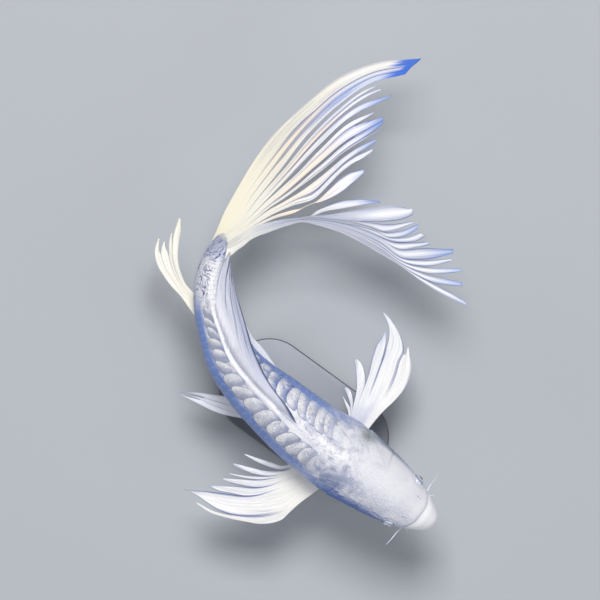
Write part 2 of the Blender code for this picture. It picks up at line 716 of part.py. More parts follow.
def rod(name, spot, parts, room, metal):
    """A turned rod: a collar on the base, a slim shank and a flared top that fits the belly."""
    foot = BASE_THICK + GAP
    top = HANG.z - CRADLE_TOP
    profile = [
        (0, top),
        (CRADLE_RADIUS, top),
        (CRADLE_RADIUS, HANG.z - CRADLE_START),
        (ROD_RADIUS, HANG.z - SHANK_TOP),
        (ROD_RADIUS, foot + COLLAR_HEIGHT),
        (COLLAR_RADIUS - 1, foot + COLLAR_HEIGHT),
        (COLLAR_RADIUS, foot + COLLAR_HEIGHT - 1),
        (COLLAR_RADIUS, foot),
        (0, foot),
    ]
    mesh = bpy.data.meshes.new(name)
    edges = [(i, i + 1) for i in range(len(profile) - 1)]
    mesh.from_pydata([(r * MM, 0, z * MM) for r, z in profile], edges, [])
    shape = bpy.data.objects.new(name, mesh)
    shape.location = (spot.x * MM, spot.y * MM, 0)
    parts.objects.link(shape)
    turned = shape.modifiers.new("Turned", "SCREW")
    turned.steps = 14
    turned.render_steps = 14
    turned.use_merge_vertices = True
    turned.merge_threshold = 0.00001
    cut(shape, room)
    finish(shape, metal)


# ---------------------------------------------------------------- the whole model


def build():
    for old in list(bpy.data.objects):
        bpy.data.objects.remove(old, do_unlink=True)
    parts = bpy.data.collections.new("Koi carp")
    cutters = bpy.data.collections.new("Cutters")
    bpy.context.scene.collection.children.link(parts)
    bpy.context.scene.collection.children.link(cutters)
    head, room = body(parts, cutters)
    eyes(head, parts, cutters)
    barbels(parts, room)
    web = material("fin web", CREAM, 0.45)
    pectoral_fins(parts, room, web)
    pelvic_fins(parts, room, web)
    anal_fin(parts, room, web)
    dorsal_fin(parts, room, web)
    tail_fin(parts, room, web)
    stand(parts, room)


build()
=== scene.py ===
"""A long-finned koi carp as a life-size still model, in a left-hand turn on a plain display stand.

The fish is worked out in its own frame, in millimetres: +X ahead, +Y to its left, +Z up, with the
spine at Z = 0. HANG lifts it over the stand. A place on the body is a distance from the snout and
an angle round the body, 0 on the fish's left side and 90 degrees on its back.
"""

import math

import bpy
import numpy as np
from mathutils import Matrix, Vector


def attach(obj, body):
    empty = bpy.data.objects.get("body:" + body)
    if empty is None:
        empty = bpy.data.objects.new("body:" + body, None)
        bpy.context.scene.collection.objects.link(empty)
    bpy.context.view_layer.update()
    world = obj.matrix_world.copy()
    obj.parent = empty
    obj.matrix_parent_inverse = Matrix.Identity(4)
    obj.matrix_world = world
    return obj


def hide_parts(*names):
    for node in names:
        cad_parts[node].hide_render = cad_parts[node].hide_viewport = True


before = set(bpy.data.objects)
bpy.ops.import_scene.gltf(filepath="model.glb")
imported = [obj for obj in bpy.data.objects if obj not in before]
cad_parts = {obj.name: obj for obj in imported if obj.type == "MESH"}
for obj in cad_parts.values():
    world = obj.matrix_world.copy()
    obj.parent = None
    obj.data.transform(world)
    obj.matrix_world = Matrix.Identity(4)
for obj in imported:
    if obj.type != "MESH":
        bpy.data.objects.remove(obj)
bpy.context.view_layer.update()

# ---------------------------------------------------------------- studio
# A pale floor under the stand and large soft lamps round it. The camera looks straight down
# through a long lens, turned so that the fish's head points to the lower right.

MM = 0.001
VIEW_CENTRE = (-0.0744, 0.0955)  # the point that the camera is over
VIEW_WIDTH = 0.6202  # how much of the fish's own level it takes in
VIEW_TURN = 36.0
VIEW_HEIGHT = 6.0
SPINE_LEVEL = 0.142
SENSOR = 36.0


def link(name, data):
    """A new object in the scene."""
    shape = bpy.data.objects.new(name, data)
    bpy.context.scene.collection.objects.link(shape)
    return shape


def lamp(name, spot, size, power, color):
    """A square soft lamp that faces the fish."""
    light = bpy.data.lights.new(name, "AREA")
    light.size = size
    light.energy = power
    light.color = color
    shape = link(name, light)
    shape.location = spot
    aim = Vector((*VIEW_CENTRE, SPINE_LEVEL)) - Vector(spot)
    shape.rotation_euler = aim.to_track_quat("-Z", "Y").to_euler()


def studio():
    mesh = bpy.data.meshes.new("studio_floor")
    reach = 8.0
    corners = [(-reach, -reach, 0), (reach, -reach, 0), (reach, reach, 0), (-reach, reach, 0)]
    mesh.from_pydata(corners, [], [(0, 1, 2, 3)])
    floor = link("studio_floor", mesh)

    camera = bpy.data.cameras.new("camera")
    camera.sensor_width = SENSOR
    camera.lens = SENSOR * VIEW_HEIGHT / VIEW_WIDTH
    camera.clip_end = 50
    eye = link("camera", camera)
    eye.location = (*VIEW_CENTRE, SPINE_LEVEL + VIEW_HEIGHT)
    eye.rotation_euler = (0, 0, math.radians(VIEW_TURN))
    bpy.context.scene.camera = eye

    lamp("key", (-0.55, 0.85, 2.7), 0.9, 60, (1.0, 0.985, 0.965))
    lamp("fill", (1.9, -0.4, 1.5), 1.8, 11, (0.96, 0.975, 1.0))
    lamp("low", (-0.9, -1.9, 1.0), 1.4, 7, (0.92, 0.95, 1.0))
    world = bpy.data.worlds.new("studio")
    world.use_nodes = True
    sky = world.node_tree.nodes["Background"].inputs
    sky["Color"].default_value = (0.95, 0.97, 1.0, 1)
    sky["Strength"].default_value = 0.29
    bpy.context.scene.world = world
    bpy.context.scene.view_settings.view_transform = "Standard"
    return floor


studio_floor = studio()


def tone(*chart):
    """A paint's colour, given as on a colour chart from 0 to 255."""
    return tuple(((c / 255 + 0.055) / 1.055) ** 2.4 if c > 10 else c / 255 / 12.92 for c in chart)


def sum_node(operation, flip=False):
    """An operator between values, or between a value and a number, that adds its Math node."""
    return lambda value, *others: value.math(operation, *others, flip=flip)


class Value:
    """A number that changes over a surface. Sums on it add the nodes that work them out."""

    def __init__(self, paint, socket):
        self.paint = paint
        self.socket = socket

    def math(self, operation, *others, flip=False):
        terms = [*others, self] if flip else [self, *others]
        return self.paint.value("ShaderNodeMath", {"operation": operation}, dict(enumerate(terms)))

    __add__ = __radd__ = sum_node("ADD")
    __mul__ = __rmul__ = sum_node("MULTIPLY")
    __sub__ = sum_node("SUBTRACT")
    __rsub__ = sum_node("SUBTRACT", flip=True)
    __pow__ = sum_node("POWER")
    __abs__ = sum_node("ABSOLUTE")

    def rise(self, low, high):
        """0 below low and 1 above high, with a smooth rise between. High may be under low."""
        first, last = (0.0, 1.0) if low < high else (1.0, 0.0)
        span = {"From Min": min(low, high), "From Max": max(low, high), "To Min": first, "To Max": last}
        settings = {"interpolation_type": "SMOOTHSTEP"}
        return self.paint.value("ShaderNodeMapRange", settings, {"Value": self, **span})

    def bump_at(self, centre, spread):
        """1 at the centre, falling to 0 at spread to each side."""
        return abs(self - centre).rise(spread, 0.0)

    def wave(self, count):
        """Runs from 0 to 1 and back, count times for each unit."""
        return (self * (2 * math.pi * count)).math("COSINE") * 0.5 + 0.5


class Paint:
    """A material whose colour, gloss and fine relief are worked out from sums. It starts in its
    ground colour, and each further colour is laid over the ones before."""

    def __init__(self, name, ground, **constants):
        self.color = tone(*ground)
        self.material = bpy.data.materials.new(name)
        self.material.use_nodes = True
        self.nodes = self.material.node_tree.nodes
        self.links = self.material.node_tree.links
        self.shader = self.nodes["Principled BSDF"]
        for label, number in constants.items():
            label = label.replace("_", " ").title().replace("Ior", "IOR")
            self.shader.inputs[label].default_value = number

    def add(self, kind, settings, inputs):
        node = self.nodes.new(kind)
        for label, setting in settings.items():
            setattr(node, label, setting)
        for label, number in inputs.items():
            self.plug(node.inputs[label], number)
        return node

    def plug(self, target, number):
        if isinstance(number, Value):
            self.links.new(number.socket, target)
        elif isinstance(number, bpy.types.NodeSocket):
            self.links.new(number, target)
        elif isinstance(number, tuple) and target.type == "RGBA" and len(number) == 3:
            target.default_value = (*number, 1)
        else:
            target.default_value = number

    def value(self, kind, settings, inputs, output=0):
        return Value(self, self.add(kind, settings, inputs).outputs[output])

    def mix(self, share, low, high):
        """A colour between two others."""
        settings = {"data_type": "RGBA"}
        return self.add("ShaderNodeMix", settings, {0: share, 6: low, 7: high}).outputs[2]

    def over(self, share, *chart):
        """Lays a colour of the chart over the paint, by a share."""
        self.color = self.mix(share, self.color, tone(*chart))

    def kept(self, name):
        """Three numbers kept at each point of the mesh."""
        kept = self.add("ShaderNodeAttribute", {"attribute_name": name}, {}).outputs["Vector"]
        parts = self.add("ShaderNodeSeparateXYZ", {}, {0: kept})
        return [Value(self, parts.outputs[i]) for i in range(3)]

    def spot(self, x, y, z=0.0):
        return self.add("ShaderNodeCombineXYZ", {}, {0: x, 1: y, 2: z}).outputs[0]

    def place(self):
        """The place on the model, in metres."""
        return self.add("ShaderNodeTexCoord", {}, {}).outputs["Object"]

    def noise(self, where, scale, detail=2.0, roughness=0.5, distortion=0.0):
        inputs = {"Vector": where, "Scale": scale, "Detail": detail}
        inputs.update({"Roughness": roughness, "Distortion": distortion})
        return self.value("ShaderNodeTexNoise", {}, inputs)

    def finish(self, roughness, height=None, strength=0.3, depth=0.0004):
        """Feeds the shader its colour, roughness and fine relief."""
        self.plug(self.shader.inputs["Base Color"], self.color)
        self.plug(self.shader.inputs["Roughness"], roughness)
        if height is not None:
            inputs = {"Height": height, "Strength": strength, "Distance": depth}
            bump = self.add("ShaderNodeBump", {}, inputs)
            self.links.new(bump.outputs[0], self.shader.inputs["Normal"])
        return self.material


def floor_finish():
    paint = Paint("studio floor", (176, 180, 187))
    cloud = paint.noise(paint.place(), 1.4, 2.0)
    paint.over(cloud, 182, 186, 193)
    return paint.finish(cloud * 0.1 + 0.75)


studio_floor.data.materials.append(floor_finish())

# ---------------------------------------------------------------- skin
# The fish's own body: one smooth pearly skin from the lips to the root of the tail fin, with its
# lips, nostrils, eye rims, gill covers and back ridge. It lies a little inside the solids, so
# that the scales fit between.

HANG = np.array((1.5, -9.0, 142.0))  # from the stand's centre to the fish's own origin

SPINE = [
    (173, -1, 0), (130, -1, 0), (90, -1, 0), (50, -1.4, 0), (10, -2, 0), (-30, 1, 0), (-65, 4.5, 0),
    (-94, 12, 0), (-128, 33.5, 0), (-151, 51.5, 0), (-167, 72.5, 1), (-174.5, 91.7, 2),
    (-179, 112, 3), (-182, 130, 4),
]

# Distance from the snout, half width, height over the spine, depth under it, and roll in degrees.
SECTIONS = [
    (2, 8.5, 6.5, 7.5, 0), (9, 14.5, 12.5, 12, 0), (17, 19.5, 18, 16, 0), (28, 25, 24, 21, 0),
    (46, 31, 33, 28, 0), (70, 36, 41, 36, 0), (95, 39.3, 47, 43, 0), (117, 41.3, 50.5, 47, 0),
    (150, 38.8, 53, 50, 0), (182, 36.8, 52.5, 49.5, 0), (220, 33, 48, 44, 4),
    (252, 28.6, 42, 37.5, 6), (290, 25, 34.5, 30.5, 6), (320, 21.6, 29, 26, 7),
    (340, 18.4, 26, 23, 10), (360, 15.2, 23.5, 21, 14), (382, 11, 21.5, 20, 20),
    (404, 6.2, 20, 19.5, 26), (410, 4, 18.5, 18, 28),
]
SNOUT_FRONT = 17.0  # the snout closes to a blunt tip from here
SNOUT_BLUNT = 0.889
TAIL_END = 408.0
STALK_THINS = 380.0  # the stalk narrows into the tail fin from here
STALK_THINNING = 0.72
STALK_ROUND = 390.0  # its upper and lower edges are rounded off from here
SHOULDER = 124.0  # the skin's rows lie closer together up to here
GILL_SIDE = 110.0
GILL_TOP = 100.0
GILL_THROAT = 66.0
SKIN_DROP = 0.8  # how far the skin lies inside the solids
SKIN_AROUND = 240
NOSE_ROWS = 56
HEAD_STEP = 0.7
REAR_ROWS = 196
NOSTRIL_TURN = 0.56  # how far round the body a nostril lies from the top
FIN_SWELLINGS = (  # where each paired fin joins the body, how wide it swells there, and how far
    ((50, 33, -29), 13, 1.8), ((46, -34, -30), 14, 1.8),
    ((-30, 14, -44), 12, 1.4), ((-26, -15, -45), 12, 1.4),
)

EYE_RADIUS = 6.8
EYE_FROM_SNOUT = 41.0
EYE_SIDE = 24.8
EYE_UP = 9.5


def between(t, step, first, last, first_slope, last_slope):
    """The cubic curve from a first value to a last one, a step apart, at a share t of the way."""
    t2, t3 = t * t, t * t * t
    return (
        (2 * t3 - 3 * t2 + 1) * first
        + (t3 - 2 * t2 + t) * step * first_slope
        + (3 * t2 - 2 * t3) * last
        + (t3 - t2) * step * last_slope
    )


class Smooth:
    """A smooth curve through the rows of a table, whose first column is the place of each row."""

    def __init__(self, rows):
        table = np.array(rows, float)
        self.places = table[:, 0]
        self.values = table[:, 1:]
        self.slopes = np.gradient(self.values, self.places, axis=0)
        self.end = self.places[-1]

    def __call__(self, x):
        x = np.asarray(x, float)
        i = np.clip(np.searchsorted(self.places, x) - 1, 0, len(self.places) - 2)
        step = (self.places[i + 1] - self.places[i])[..., None]
        t = (x - self.places[i])[..., None] / step
        return between(t, step, self.values[i], self.values[i + 1], self.slopes[i], self.slopes[i + 1])


def by_length(points):
    """The same points, each after its distance along the line, as a table for Smooth."""
    line = np.array(points, float)
    steps = np.linalg.norm(np.diff(line, axis=0), axis=1)
    return np.column_stack([np.concatenate([[0], np.cumsum(steps)]), line])


SPINE_LINE = Smooth(by_length(SPINE))
SECTION_LINE = Smooth(SECTIONS)


def unit(vectors):
    return vectors / np.maximum(np.linalg.norm(vectors, axis=-1, keepdims=True), 1e-9)


def ease(x, low, high):
    """0 below low and 1 above high, with a smooth rise between."""
    t = np.clip((x - low) / (high - low), 0, 1)
    return t * t * (3 - 2 * t)


def hill(x, centre, spread):
    return np.exp(-(((x - centre) / spread) ** 2))


def spine_frame(distance):
    """The spine's point, and the directions to the fish's left and up, before its roll."""
    here = SPINE_LINE(distance)
    ahead = SPINE_LINE(distance - 1) - SPINE_LINE(distance + 1)
    left = unit(np.cross(np.array([0.0, 0.0, 1.0]), ahead))
    return here, left, unit(np.cross(ahead, left))


def section(distance):
    """Half width, height, depth and roll at a distance from the snout."""
    rows = SECTION_LINE(np.maximum(distance, SNOUT_FRONT))
    share = np.clip(distance / SNOUT_FRONT, 0, 1)
    closing = SNOUT_BLUNT * share**0.42 + (1 - SNOUT_BLUNT) * share
    rows[..., :3] *= closing[..., None]
    return rows


def rolled_frame(distance):
    """The spine's point, and the body's own directions across and upward there."""
    here, left, up = spine_frame(distance)
    lean = np.radians(section(distance)[..., 3])[..., None]
    return here, left * np.cos(lean) - up * np.sin(lean), up * np.cos(lean) + left * np.sin(lean)


def body_point(distance, angle):
    """A point on the plain body."""
    here, across, upward = rolled_frame(distance)
    width, height, depth, _ = np.moveaxis(section(distance), -1, 0)
    thin = 1 - STALK_THINNING * ease(distance, STALK_THINS, TAIL_END)
    past = np.maximum(distance - STALK_ROUND, 0) / (TAIL_END - STALK_ROUND)
    tall = np.where(np.sin(angle) > 0, height, depth) * np.sqrt(np.clip(1 - past**2, 0.03, 1))
    side = width * thin * np.cos(angle)
    return here + across * side[..., None] + upward * (tall * np.sin(angle))[..., None]


def body_normal(distance, angle):
    step = 0.15
    along = body_point(distance + step, angle) - body_point(np.maximum(distance - step, 0.0), angle)
    turn = 0.004
    around = body_point(distance, angle + turn) - body_point(distance, angle - turn)
    return unit(np.cross(along, around))


def gill_edge(angle):
    """Distance from the snout of the gill covers' rear edge, at an angle round the body."""
    sideways = np.abs(np.cos(angle))
    upper = GILL_TOP + (GILL_SIDE - GILL_TOP) * sideways**2
    lower = GILL_THROAT + (GILL_SIDE - GILL_THROAT) * sideways**0.8
    return np.where(np.sin(angle) >= 0, upper, lower)


def eye_centre(side):
    here, left, up = spine_frame(EYE_FROM_SNOUT)
    return here + left * EYE_SIDE * side + up * EYE_UP


def relief(distance, angle, spot):
    """How far the skin stands out from the plain body, how much painted shade a place gets in the
    creases, and how much in a nostril."""
    sideways, upward = np.cos(angle), np.sin(angle)
    flank = np.abs(sideways)
    height = spot[..., 2]
    out = np.full(distance.shape, -SKIN_DROP)
    # How much painted shade each place gets in the creases, and in the nostrils.
    crease_shade = np.zeros(distance.shape)
    nostril_shade = np.zeros(distance.shape)

    # Lips: a groove round the front of the snout between two soft rolls.
    lip_line = -4.2 - 4.3 * (np.clip(distance, 0, 20) / 16) ** 1.4
    at_mouth = ease(distance, 18.0, 14.5)
    slit = hill(height, lip_line, 0.85) * at_mouth
    out -= 2.6 * slit
    crease_shade += slit
    out += at_mouth * (hill(height, lip_line + 2.7, 1.7) + 1.1 * hill(height, lip_line - 2.7, 1.6))
    chin = hill(distance, 14.5, 1.3) * ease(-upward, 0.35, 0.7)
    out -= 0.9 * chin
    crease_shade += 0.6 * chin

    # Snout: the upper lip's soft cap ends in a fold across the nose.
    fold_line = 17.5 + 9.0 * flank**4
    fold = hill(distance, fold_line, 1.0) * ease(upward, -0.25, 0.05)
    out -= 0.75 * fold
    crease_shade += 0.7 * fold
    out += 0.75 * hill(distance, fold_line - 5.5, 4.0) * ease(upward, -0.1, 0.3)
    out += 0.35 * hill(distance, fold_line + 4.0, 3.5) * ease(upward, 0.1, 0.5)

    # Nostrils: two small openings on each side, with a raised rim and a flap between, and painted shade in
    # each.
    for side in (1, -1):
        for back, radius, deep in ((28.2, 0.9, 0.40), (31.0, 1.2, 0.55)):
            middle = body_point(back, math.pi / 2 - side * NOSTRIL_TURN)
            off = np.linalg.norm(spot - middle, axis=-1)
            out += 0.22 * hill(off, radius * 1.9, 0.8) - deep * hill(off, 0, radius)
            nostril_shade += hill(off, 0, radius * 1.05)

    # Eyes: the skin dips under each eyeball and stands up in a soft rim round it.
    for side in (1, -1):
        off = np.linalg.norm(spot - eye_centre(side), axis=-1)
        near = ease(sideways * side, 0.1, 0.4)
        out += near * (hill(off, 7.9, 1.1) - 1.6 * ease(off, 6.9, 5.4))
        out += near * 0.9 * hill(off, 12.0, 4.0) * ease(upward, 0.2, 0.7)
        crease_shade += near * 0.8 * hill(off, 6.9, 0.45)
        crease_shade += near * 0.35 * hill(off, 9.6, 0.7)

    # Gill covers: plates whose rear edge stands over the shoulder, with a fold in front.
    behind = distance - gill_edge(angle)
    reach = ease(flank, 0.42, 0.78)
    past = 0.5 + 0.5 * np.tanh(behind / 0.55)
    out += reach * (1 - past) * 1.05 * np.exp(np.minimum(behind, 0) / 8)
    out -= reach * past * 0.9 * np.exp(-np.maximum(behind, 0) / 5)
    crease_shade += 0.85 * ease(flank, 0.6, 0.97) * hill(behind, 0.9, 1.0)
    cheek = hill(behind, -33 + 5 * upward, 1.3) * ease(flank, 0.5, 0.8)
    out -= 0.55 * cheek
    crease_shade += 0.45 * cheek
    for number in (1, 2, 3):
        fold = hill(behind, -5.0 * number, 1.0) * ease(-upward, 0.55, 0.8)
        out -= 0.35 * fold
        crease_shade += 0.3 * fold

    # Back and belly: a low keel ahead of the back fin, its fleshy base beside it, the line along
    # each flank, and swellings where the paired fins join.
    arc = (angle - math.pi / 2) * section(distance)[..., 0] * -1
    out += hill(arc, 0, 6) * ease(distance, 104, 125) * ease(distance, 200, 170)
    base_line = -4.2 - 1.5 * ease(distance, 300, 345)
    out += 1.9 * hill(arc, base_line, 2.9) * ease(distance, 160, 200) * ease(distance, 368, 340)
    line = hill(np.abs(height + 1.0), 0, 1.1) * ease(behind, 2, 8) * ease(flank, 0.5, 0.8)
    out -= 0.3 * line
    for middle, size, rise in FIN_SWELLINGS:
        out += rise * hill(np.linalg.norm(spot - np.array(middle, float), axis=-1), 0, size)
    return out, np.clip(crease_shade, 0, 1), np.clip(nostril_shade, 0, 1)


def skin_point(distance, angle, lift=0.0):
    """A point over the finished skin, by lift."""
    plain = body_point(distance, angle)
    return plain + body_normal(distance, angle) * (relief(distance, angle, plain)[0] + lift)[..., None]


def keep(mesh, name, *columns):
    """Keeps up to three numbers at each point of a mesh, for its paint."""
    numbers = np.zeros((len(mesh.vertices), 3), np.float32)
    for number, column in enumerate(columns):
        numbers[:, number] = np.ravel(column)
    layer = mesh.attributes.new(name, "FLOAT_VECTOR", "POINT")
    layer.data.foreach_set("vector", numbers.ravel())


def piece(name, points, faces, slot, nodes=()):
    """A piece of the fish from points in its own frame, which rides with the whole model."""
    mesh = bpy.data.meshes.new(name)
    mesh.from_pydata((np.asarray(points) + HANG) * MM, [], faces)
    mesh.update()
    mesh.shade_smooth()
    shape = link(name, mesh)
    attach(shape, "root")
    if nodes:
        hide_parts(*nodes)
    return shape


def body_lie(distance, angle):
    """A place on the body as the paint reads it: share of the length, and how far left and up."""
    return distance / TAIL_END, np.cos(angle), np.sin(angle)


def even_turns(count):
    return np.arange(count) * 2 * math.pi / count


def ring_faces(rings, around, start=0):
    """Faces between closed rings of points, whose numbers follow one another from start."""
    spans = [(start + i * around, j, (j + 1) % around) for i in range(rings - 1) for j in range(around)]
    return [(a + j, a + around + j, a + around + k, a + k) for a, j, k in spans]


def fan_faces(tip, start, around):
    """Faces from one point to a closed ring of points."""
    return [(tip, start + j, start + (j + 1) % around) for j in range(around)]


def skin_mesh():
    nose = SNOUT_FRONT * np.linspace(0, 1, NOSE_ROWS)[1:] ** 2
    head = np.arange(SNOUT_FRONT + HEAD_STEP, SHOULDER, HEAD_STEP)
    rows = np.concatenate([nose, head, np.linspace(SHOULDER, TAIL_END, REAR_ROWS)])
    distance, angle = np.meshgrid(rows, even_turns(SKIN_AROUND), indexing="ij")
    plain = body_point(distance, angle)
    out, crease_shade, nostril_shade = relief(distance, angle, plain)
    points = plain + body_normal(distance, angle) * out[..., None]
    tip = body_point(0.0, 0.0) + np.array((-SKIN_DROP, 0, 0))
    end = rolled_frame(TAIL_END)[0]
    points = np.concatenate([points.reshape(-1, 3), [tip, end]])
    count = len(rows)
    rear = fan_faces(count * SKIN_AROUND + 1, (count - 1) * SKIN_AROUND, SKIN_AROUND)
    faces = ring_faces(count, SKIN_AROUND) + fan_faces(count * SKIN_AROUND, 0, SKIN_AROUND)
    faces += [(a, c, b) for a, b, c in rear]
    shape = piece("skin", points, faces, "pearl_skin", ("head", "trunk_front", "trunk_rear", "tail_stalk"))
    ends = ((0, 1), (0, 0), (0, 0))  # the numbers at the snout's tip and at the stalk's end
    keep(shape.data, "lie", *map(np.append, body_lie(distance, angle), ends))
    # The painted shade of the creases and of the nostrils, kept for the paint.
    keep(shape.data, "fold", np.append(crease_shade, (0, 0)), np.append(nostril_shade, (0, 0)))
    return shape


PEARL = (230, 230, 236)
SNOUT_WHITE = (248, 248, 252)
HAZE = (166, 170, 190)
PERIWINKLE = (98, 134, 208)
WARM_CREAM = (250, 246, 224)
SHOULDER_GREEN = (136, 144, 142)


def body_markings_and_painted_light(paint):
    """Lays on the fish's markings, painted highlights on the back and painted shade on the flanks, the same
    on its skin and on its scales. Gives back how blue a place is and how dark its swirls are."""
    along, left, up = paint.kept("lie")
    distance = along * TAIL_END
    flank = abs(left)
    where = paint.place()
    cloud = paint.noise(where, 42, 4.0, 0.62, 0.8)
    fine = paint.noise(where, 150, 4.0, 0.6, 0.5)
    streaks = paint.noise(paint.spot(distance * 0.03, up * 6.0, left * 6.0), 2.4, 5.0, 0.6, 1.2)
    right = left.rise(0.35, -0.35)
    haze_here = distance.rise(62, 120) * 0.62 + right * distance.rise(30, 110) * 0.4 + 0.12
    paint.over(cloud.rise(0.42, 0.66) * haze_here, *HAZE)
    paint.over(streaks.rise(0.50, 0.66) * haze_here * (right * 0.45 + 0.1), 150, 158, 190)
    paint.over(fine.rise(0.52, 0.72) * haze_here * 0.5, 196, 199, 214)
    paint.over(distance.rise(20, 13) * 0.8, *SNOUT_WHITE)

    hairs = paint.noise(paint.spot(distance * 0.09, up * 20.0, left * 20.0), 2.0, 4.0, 0.6, 0.8)
    on_head = distance.rise(16, 26) * distance.rise(190, 130)
    paint.over(hairs.rise(0.45, 0.7) * on_head * (right * 0.3 + 0.25), 196, 201, 220)
    lines = hairs.bump_at(0.52, 0.03) * on_head * left.rise(0.1, -0.5)
    paint.over(lines * 0.8, 104, 126, 182)
    veins = paint.noise(where, 48, 3.0, 0.5, 1.8).bump_at(0.5, 0.035) * fine.rise(0.40, 0.55)
    veins = veins * distance.bump_at(140, 56).rise(0.0, 0.4) * up.rise(0.25, 0.5)
    paint.over(veins * 0.6, 132, 138, 166)
    mottle = cloud.rise(0.48, 0.62) * left.bump_at(-0.70, 0.30) * distance.bump_at(120, 28).rise(0.0, 0.5)
    paint.over(mottle * 0.6, 92, 116, 166)
    # A painted highlight: a bright band along the top of the back over the shoulders.
    highlight_band = (left + (cloud - 0.5) * 0.5).bump_at(-0.05, 0.36) * distance.bump_at(130, 38) * up.rise(0.5, 0.8)
    paint.over(highlight_band * fine.rise(0.66, 0.42) * 0.85, 248, 248, 251)

    # The blue of the flanks starts under the large scales and fades out on the belly.
    edge = flank + (cloud - 0.5) * 0.10 + (streaks - 0.5) * 0.16
    ragged = distance + (cloud - 0.5) * 60.0 + (streaks - 0.5) * 40.0
    on_trunk = edge.rise(0.66, 0.82) * ragged.rise(112, 176) * ragged.rise(362, 318)
    cheeks = edge.rise(0.88, 1.04) * distance.rise(24, 70) * (1 - right) * 0.55
    cheeks = cheeks + edge.rise(0.72, 0.96) * distance.rise(30, 90) * right * 0.9
    belly = (up + (cloud - 0.5) * 0.5).rise(-0.85, -0.15)
    blue = (on_trunk + cheeks * distance.rise(160, 120)).math("MINIMUM", 1.0) * belly
    paint.over(blue * 0.92, *PERIWINKLE)
    # Painted shade: a deeper blue along the widest line of each flank, where the side turns from the light.
    rim = edge.rise(0.88, 1.02) * belly * distance.rise(110, 190) * 0.4
    paint.over(rim, 70, 104, 176)
    # Deep blue streaks at the right cheek's widest line: partly its own blue, partly painted shade.
    wavy = (flank + (streaks - 0.5) * 0.75 + (hairs - 0.5) * 0.3).rise(0.76, 0.96)
    upper = (up + (cloud - 0.5) * 0.5 + (streaks - 0.5) * 0.5).rise(-0.55, 0.10)
    wavy = wavy * right * distance.bump_at(76, 70).rise(0.0, 0.75) * upper
    paint.over(wavy * 0.9, 50, 88, 166)
    gill_line = left.rise(0.88, 0.985) * distance.bump_at(84, 40) * (up + (fine - 0.5) * 0.6).rise(-0.4, 0.1)
    paint.over(gill_line * 0.8, 92, 114, 128)
    paint.over(up.rise(-0.45, -0.85) * 0.8, 236, 236, 240)

    # A painted highlight along the ridge of the back, at the right of the back fin, with a thin darker
    #     line along each side of it.
    ridge = left.bump_at(-0.16, 0.13) * up.rise(0.6, 0.85) * distance.rise(135, 175) * distance.rise(372, 345)
    paint.over(ridge * 0.8, 243, 243, 247)
    beside = left.bump_at(-0.02, 0.035) + left.bump_at(-0.30, 0.035)
    beside = beside * up.rise(0.6, 0.85) * distance.rise(160, 185) * distance.rise(345, 320)
    paint.over(beside * 0.6, 140, 144, 164)

    pale_stalk = distance.rise(322, 350) * up.rise(-0.1, 0.4) * (1 - streaks.rise(0.5, 0.62) * 0.6)
    paint.over(pale_stalk * 0.75, 242, 242, 245)

    # A grey-green patch behind the left gill cover, and dark lines down the right of the tail.
    patch = left.bump_at(0.86, 0.24) * distance.bump_at(109, 15) * up.rise(0.05, 0.3)
    paint.over(patch * (fine.rise(0.30, 0.50) * 0.3 + 0.65), *SHOULDER_GREEN)
    broken = paint.noise(where, 60, 2.0, 0.6)
    down_right = (left + (broken - 0.5) * 0.7).rise(-0.15, -0.50) * up.rise(-0.35, 0.15)
    at_end = distance.rise(374, 388) * left.rise(0.7, 0.2)
    paint.over(at_end * 0.8, 178, 183, 210)
    region = (down_right + at_end).math("MINIMUM", 1.0) * distance.rise(322, 345) * distance.rise(407, 400)
    line = paint.noise(where, 95, 1.0, 0.5, 1.4).bump_at(0.5, 0.05)
    faint = paint.noise(where, 90, 2.0, 0.5, 1.0).bump_at(0.52, 0.02) * distance.rise(318, 350)
    faint = faint * up.rise(0.0, 0.4)
    paint.over(distance.rise(400, 408) * 0.7, *WARM_CREAM)
    paint.over(faint * 0.25, 120, 130, 165)
    paint.over(line * region * broken.rise(0.30, 0.42) * 0.95, 44, 66, 132)
    swirls = paint.noise(where, 62, 2.0, 0.5, 2.2).bump_at(0.5, 0.06)
    swirls = swirls * left.rise(0.30, 0.55) * distance.bump_at(236, 52).rise(0.0, 0.5)
    swirls = swirls * up.rise(-0.2, 0.2) * 0.7
    paint.over(swirls, 50, 74, 142)
    return blue, swirls


def skin_finish():
    paint = Paint("pearl skin", PEARL, specular_ior_level=0.32)
    crease_shade, nostril_shade, _ = paint.kept("fold")
    blue, _ = body_markings_and_painted_light(paint)
    # Painted shade in the skin's creases: lips, chin, snout fold, eye rims, gill covers and throat.
    paint.over(crease_shade * 0.5, 104, 114, 150)
    # Painted shade in the nostrils.
    paint.over(nostril_shade.rise(0.2, 0.8) * 0.5, 112, 118, 144)
    where = paint.place()
    fine = paint.noise(where, 900, 3.0, 0.6)
    grain = paint.noise(where, 260, 3.0, 0.5)
    return paint.finish(0.34 + grain * 0.16 + blue * 0.12, fine * 0.4 + grain * 0.6, 0.18, 0.0004)


skin = skin_mesh()
skin.data.materials.append(skin_finish())

# ---------------------------------------------------------------- eyes
# Glass eyes in the skin's rims: a black pupil, a silver-blue iris with a thin gold inner ring,
# under a clear bulge.

EYE_ROWS = 40
EYE_TURNS = 56
EYE_BULGE = 0.75  # how far the clear front stands out


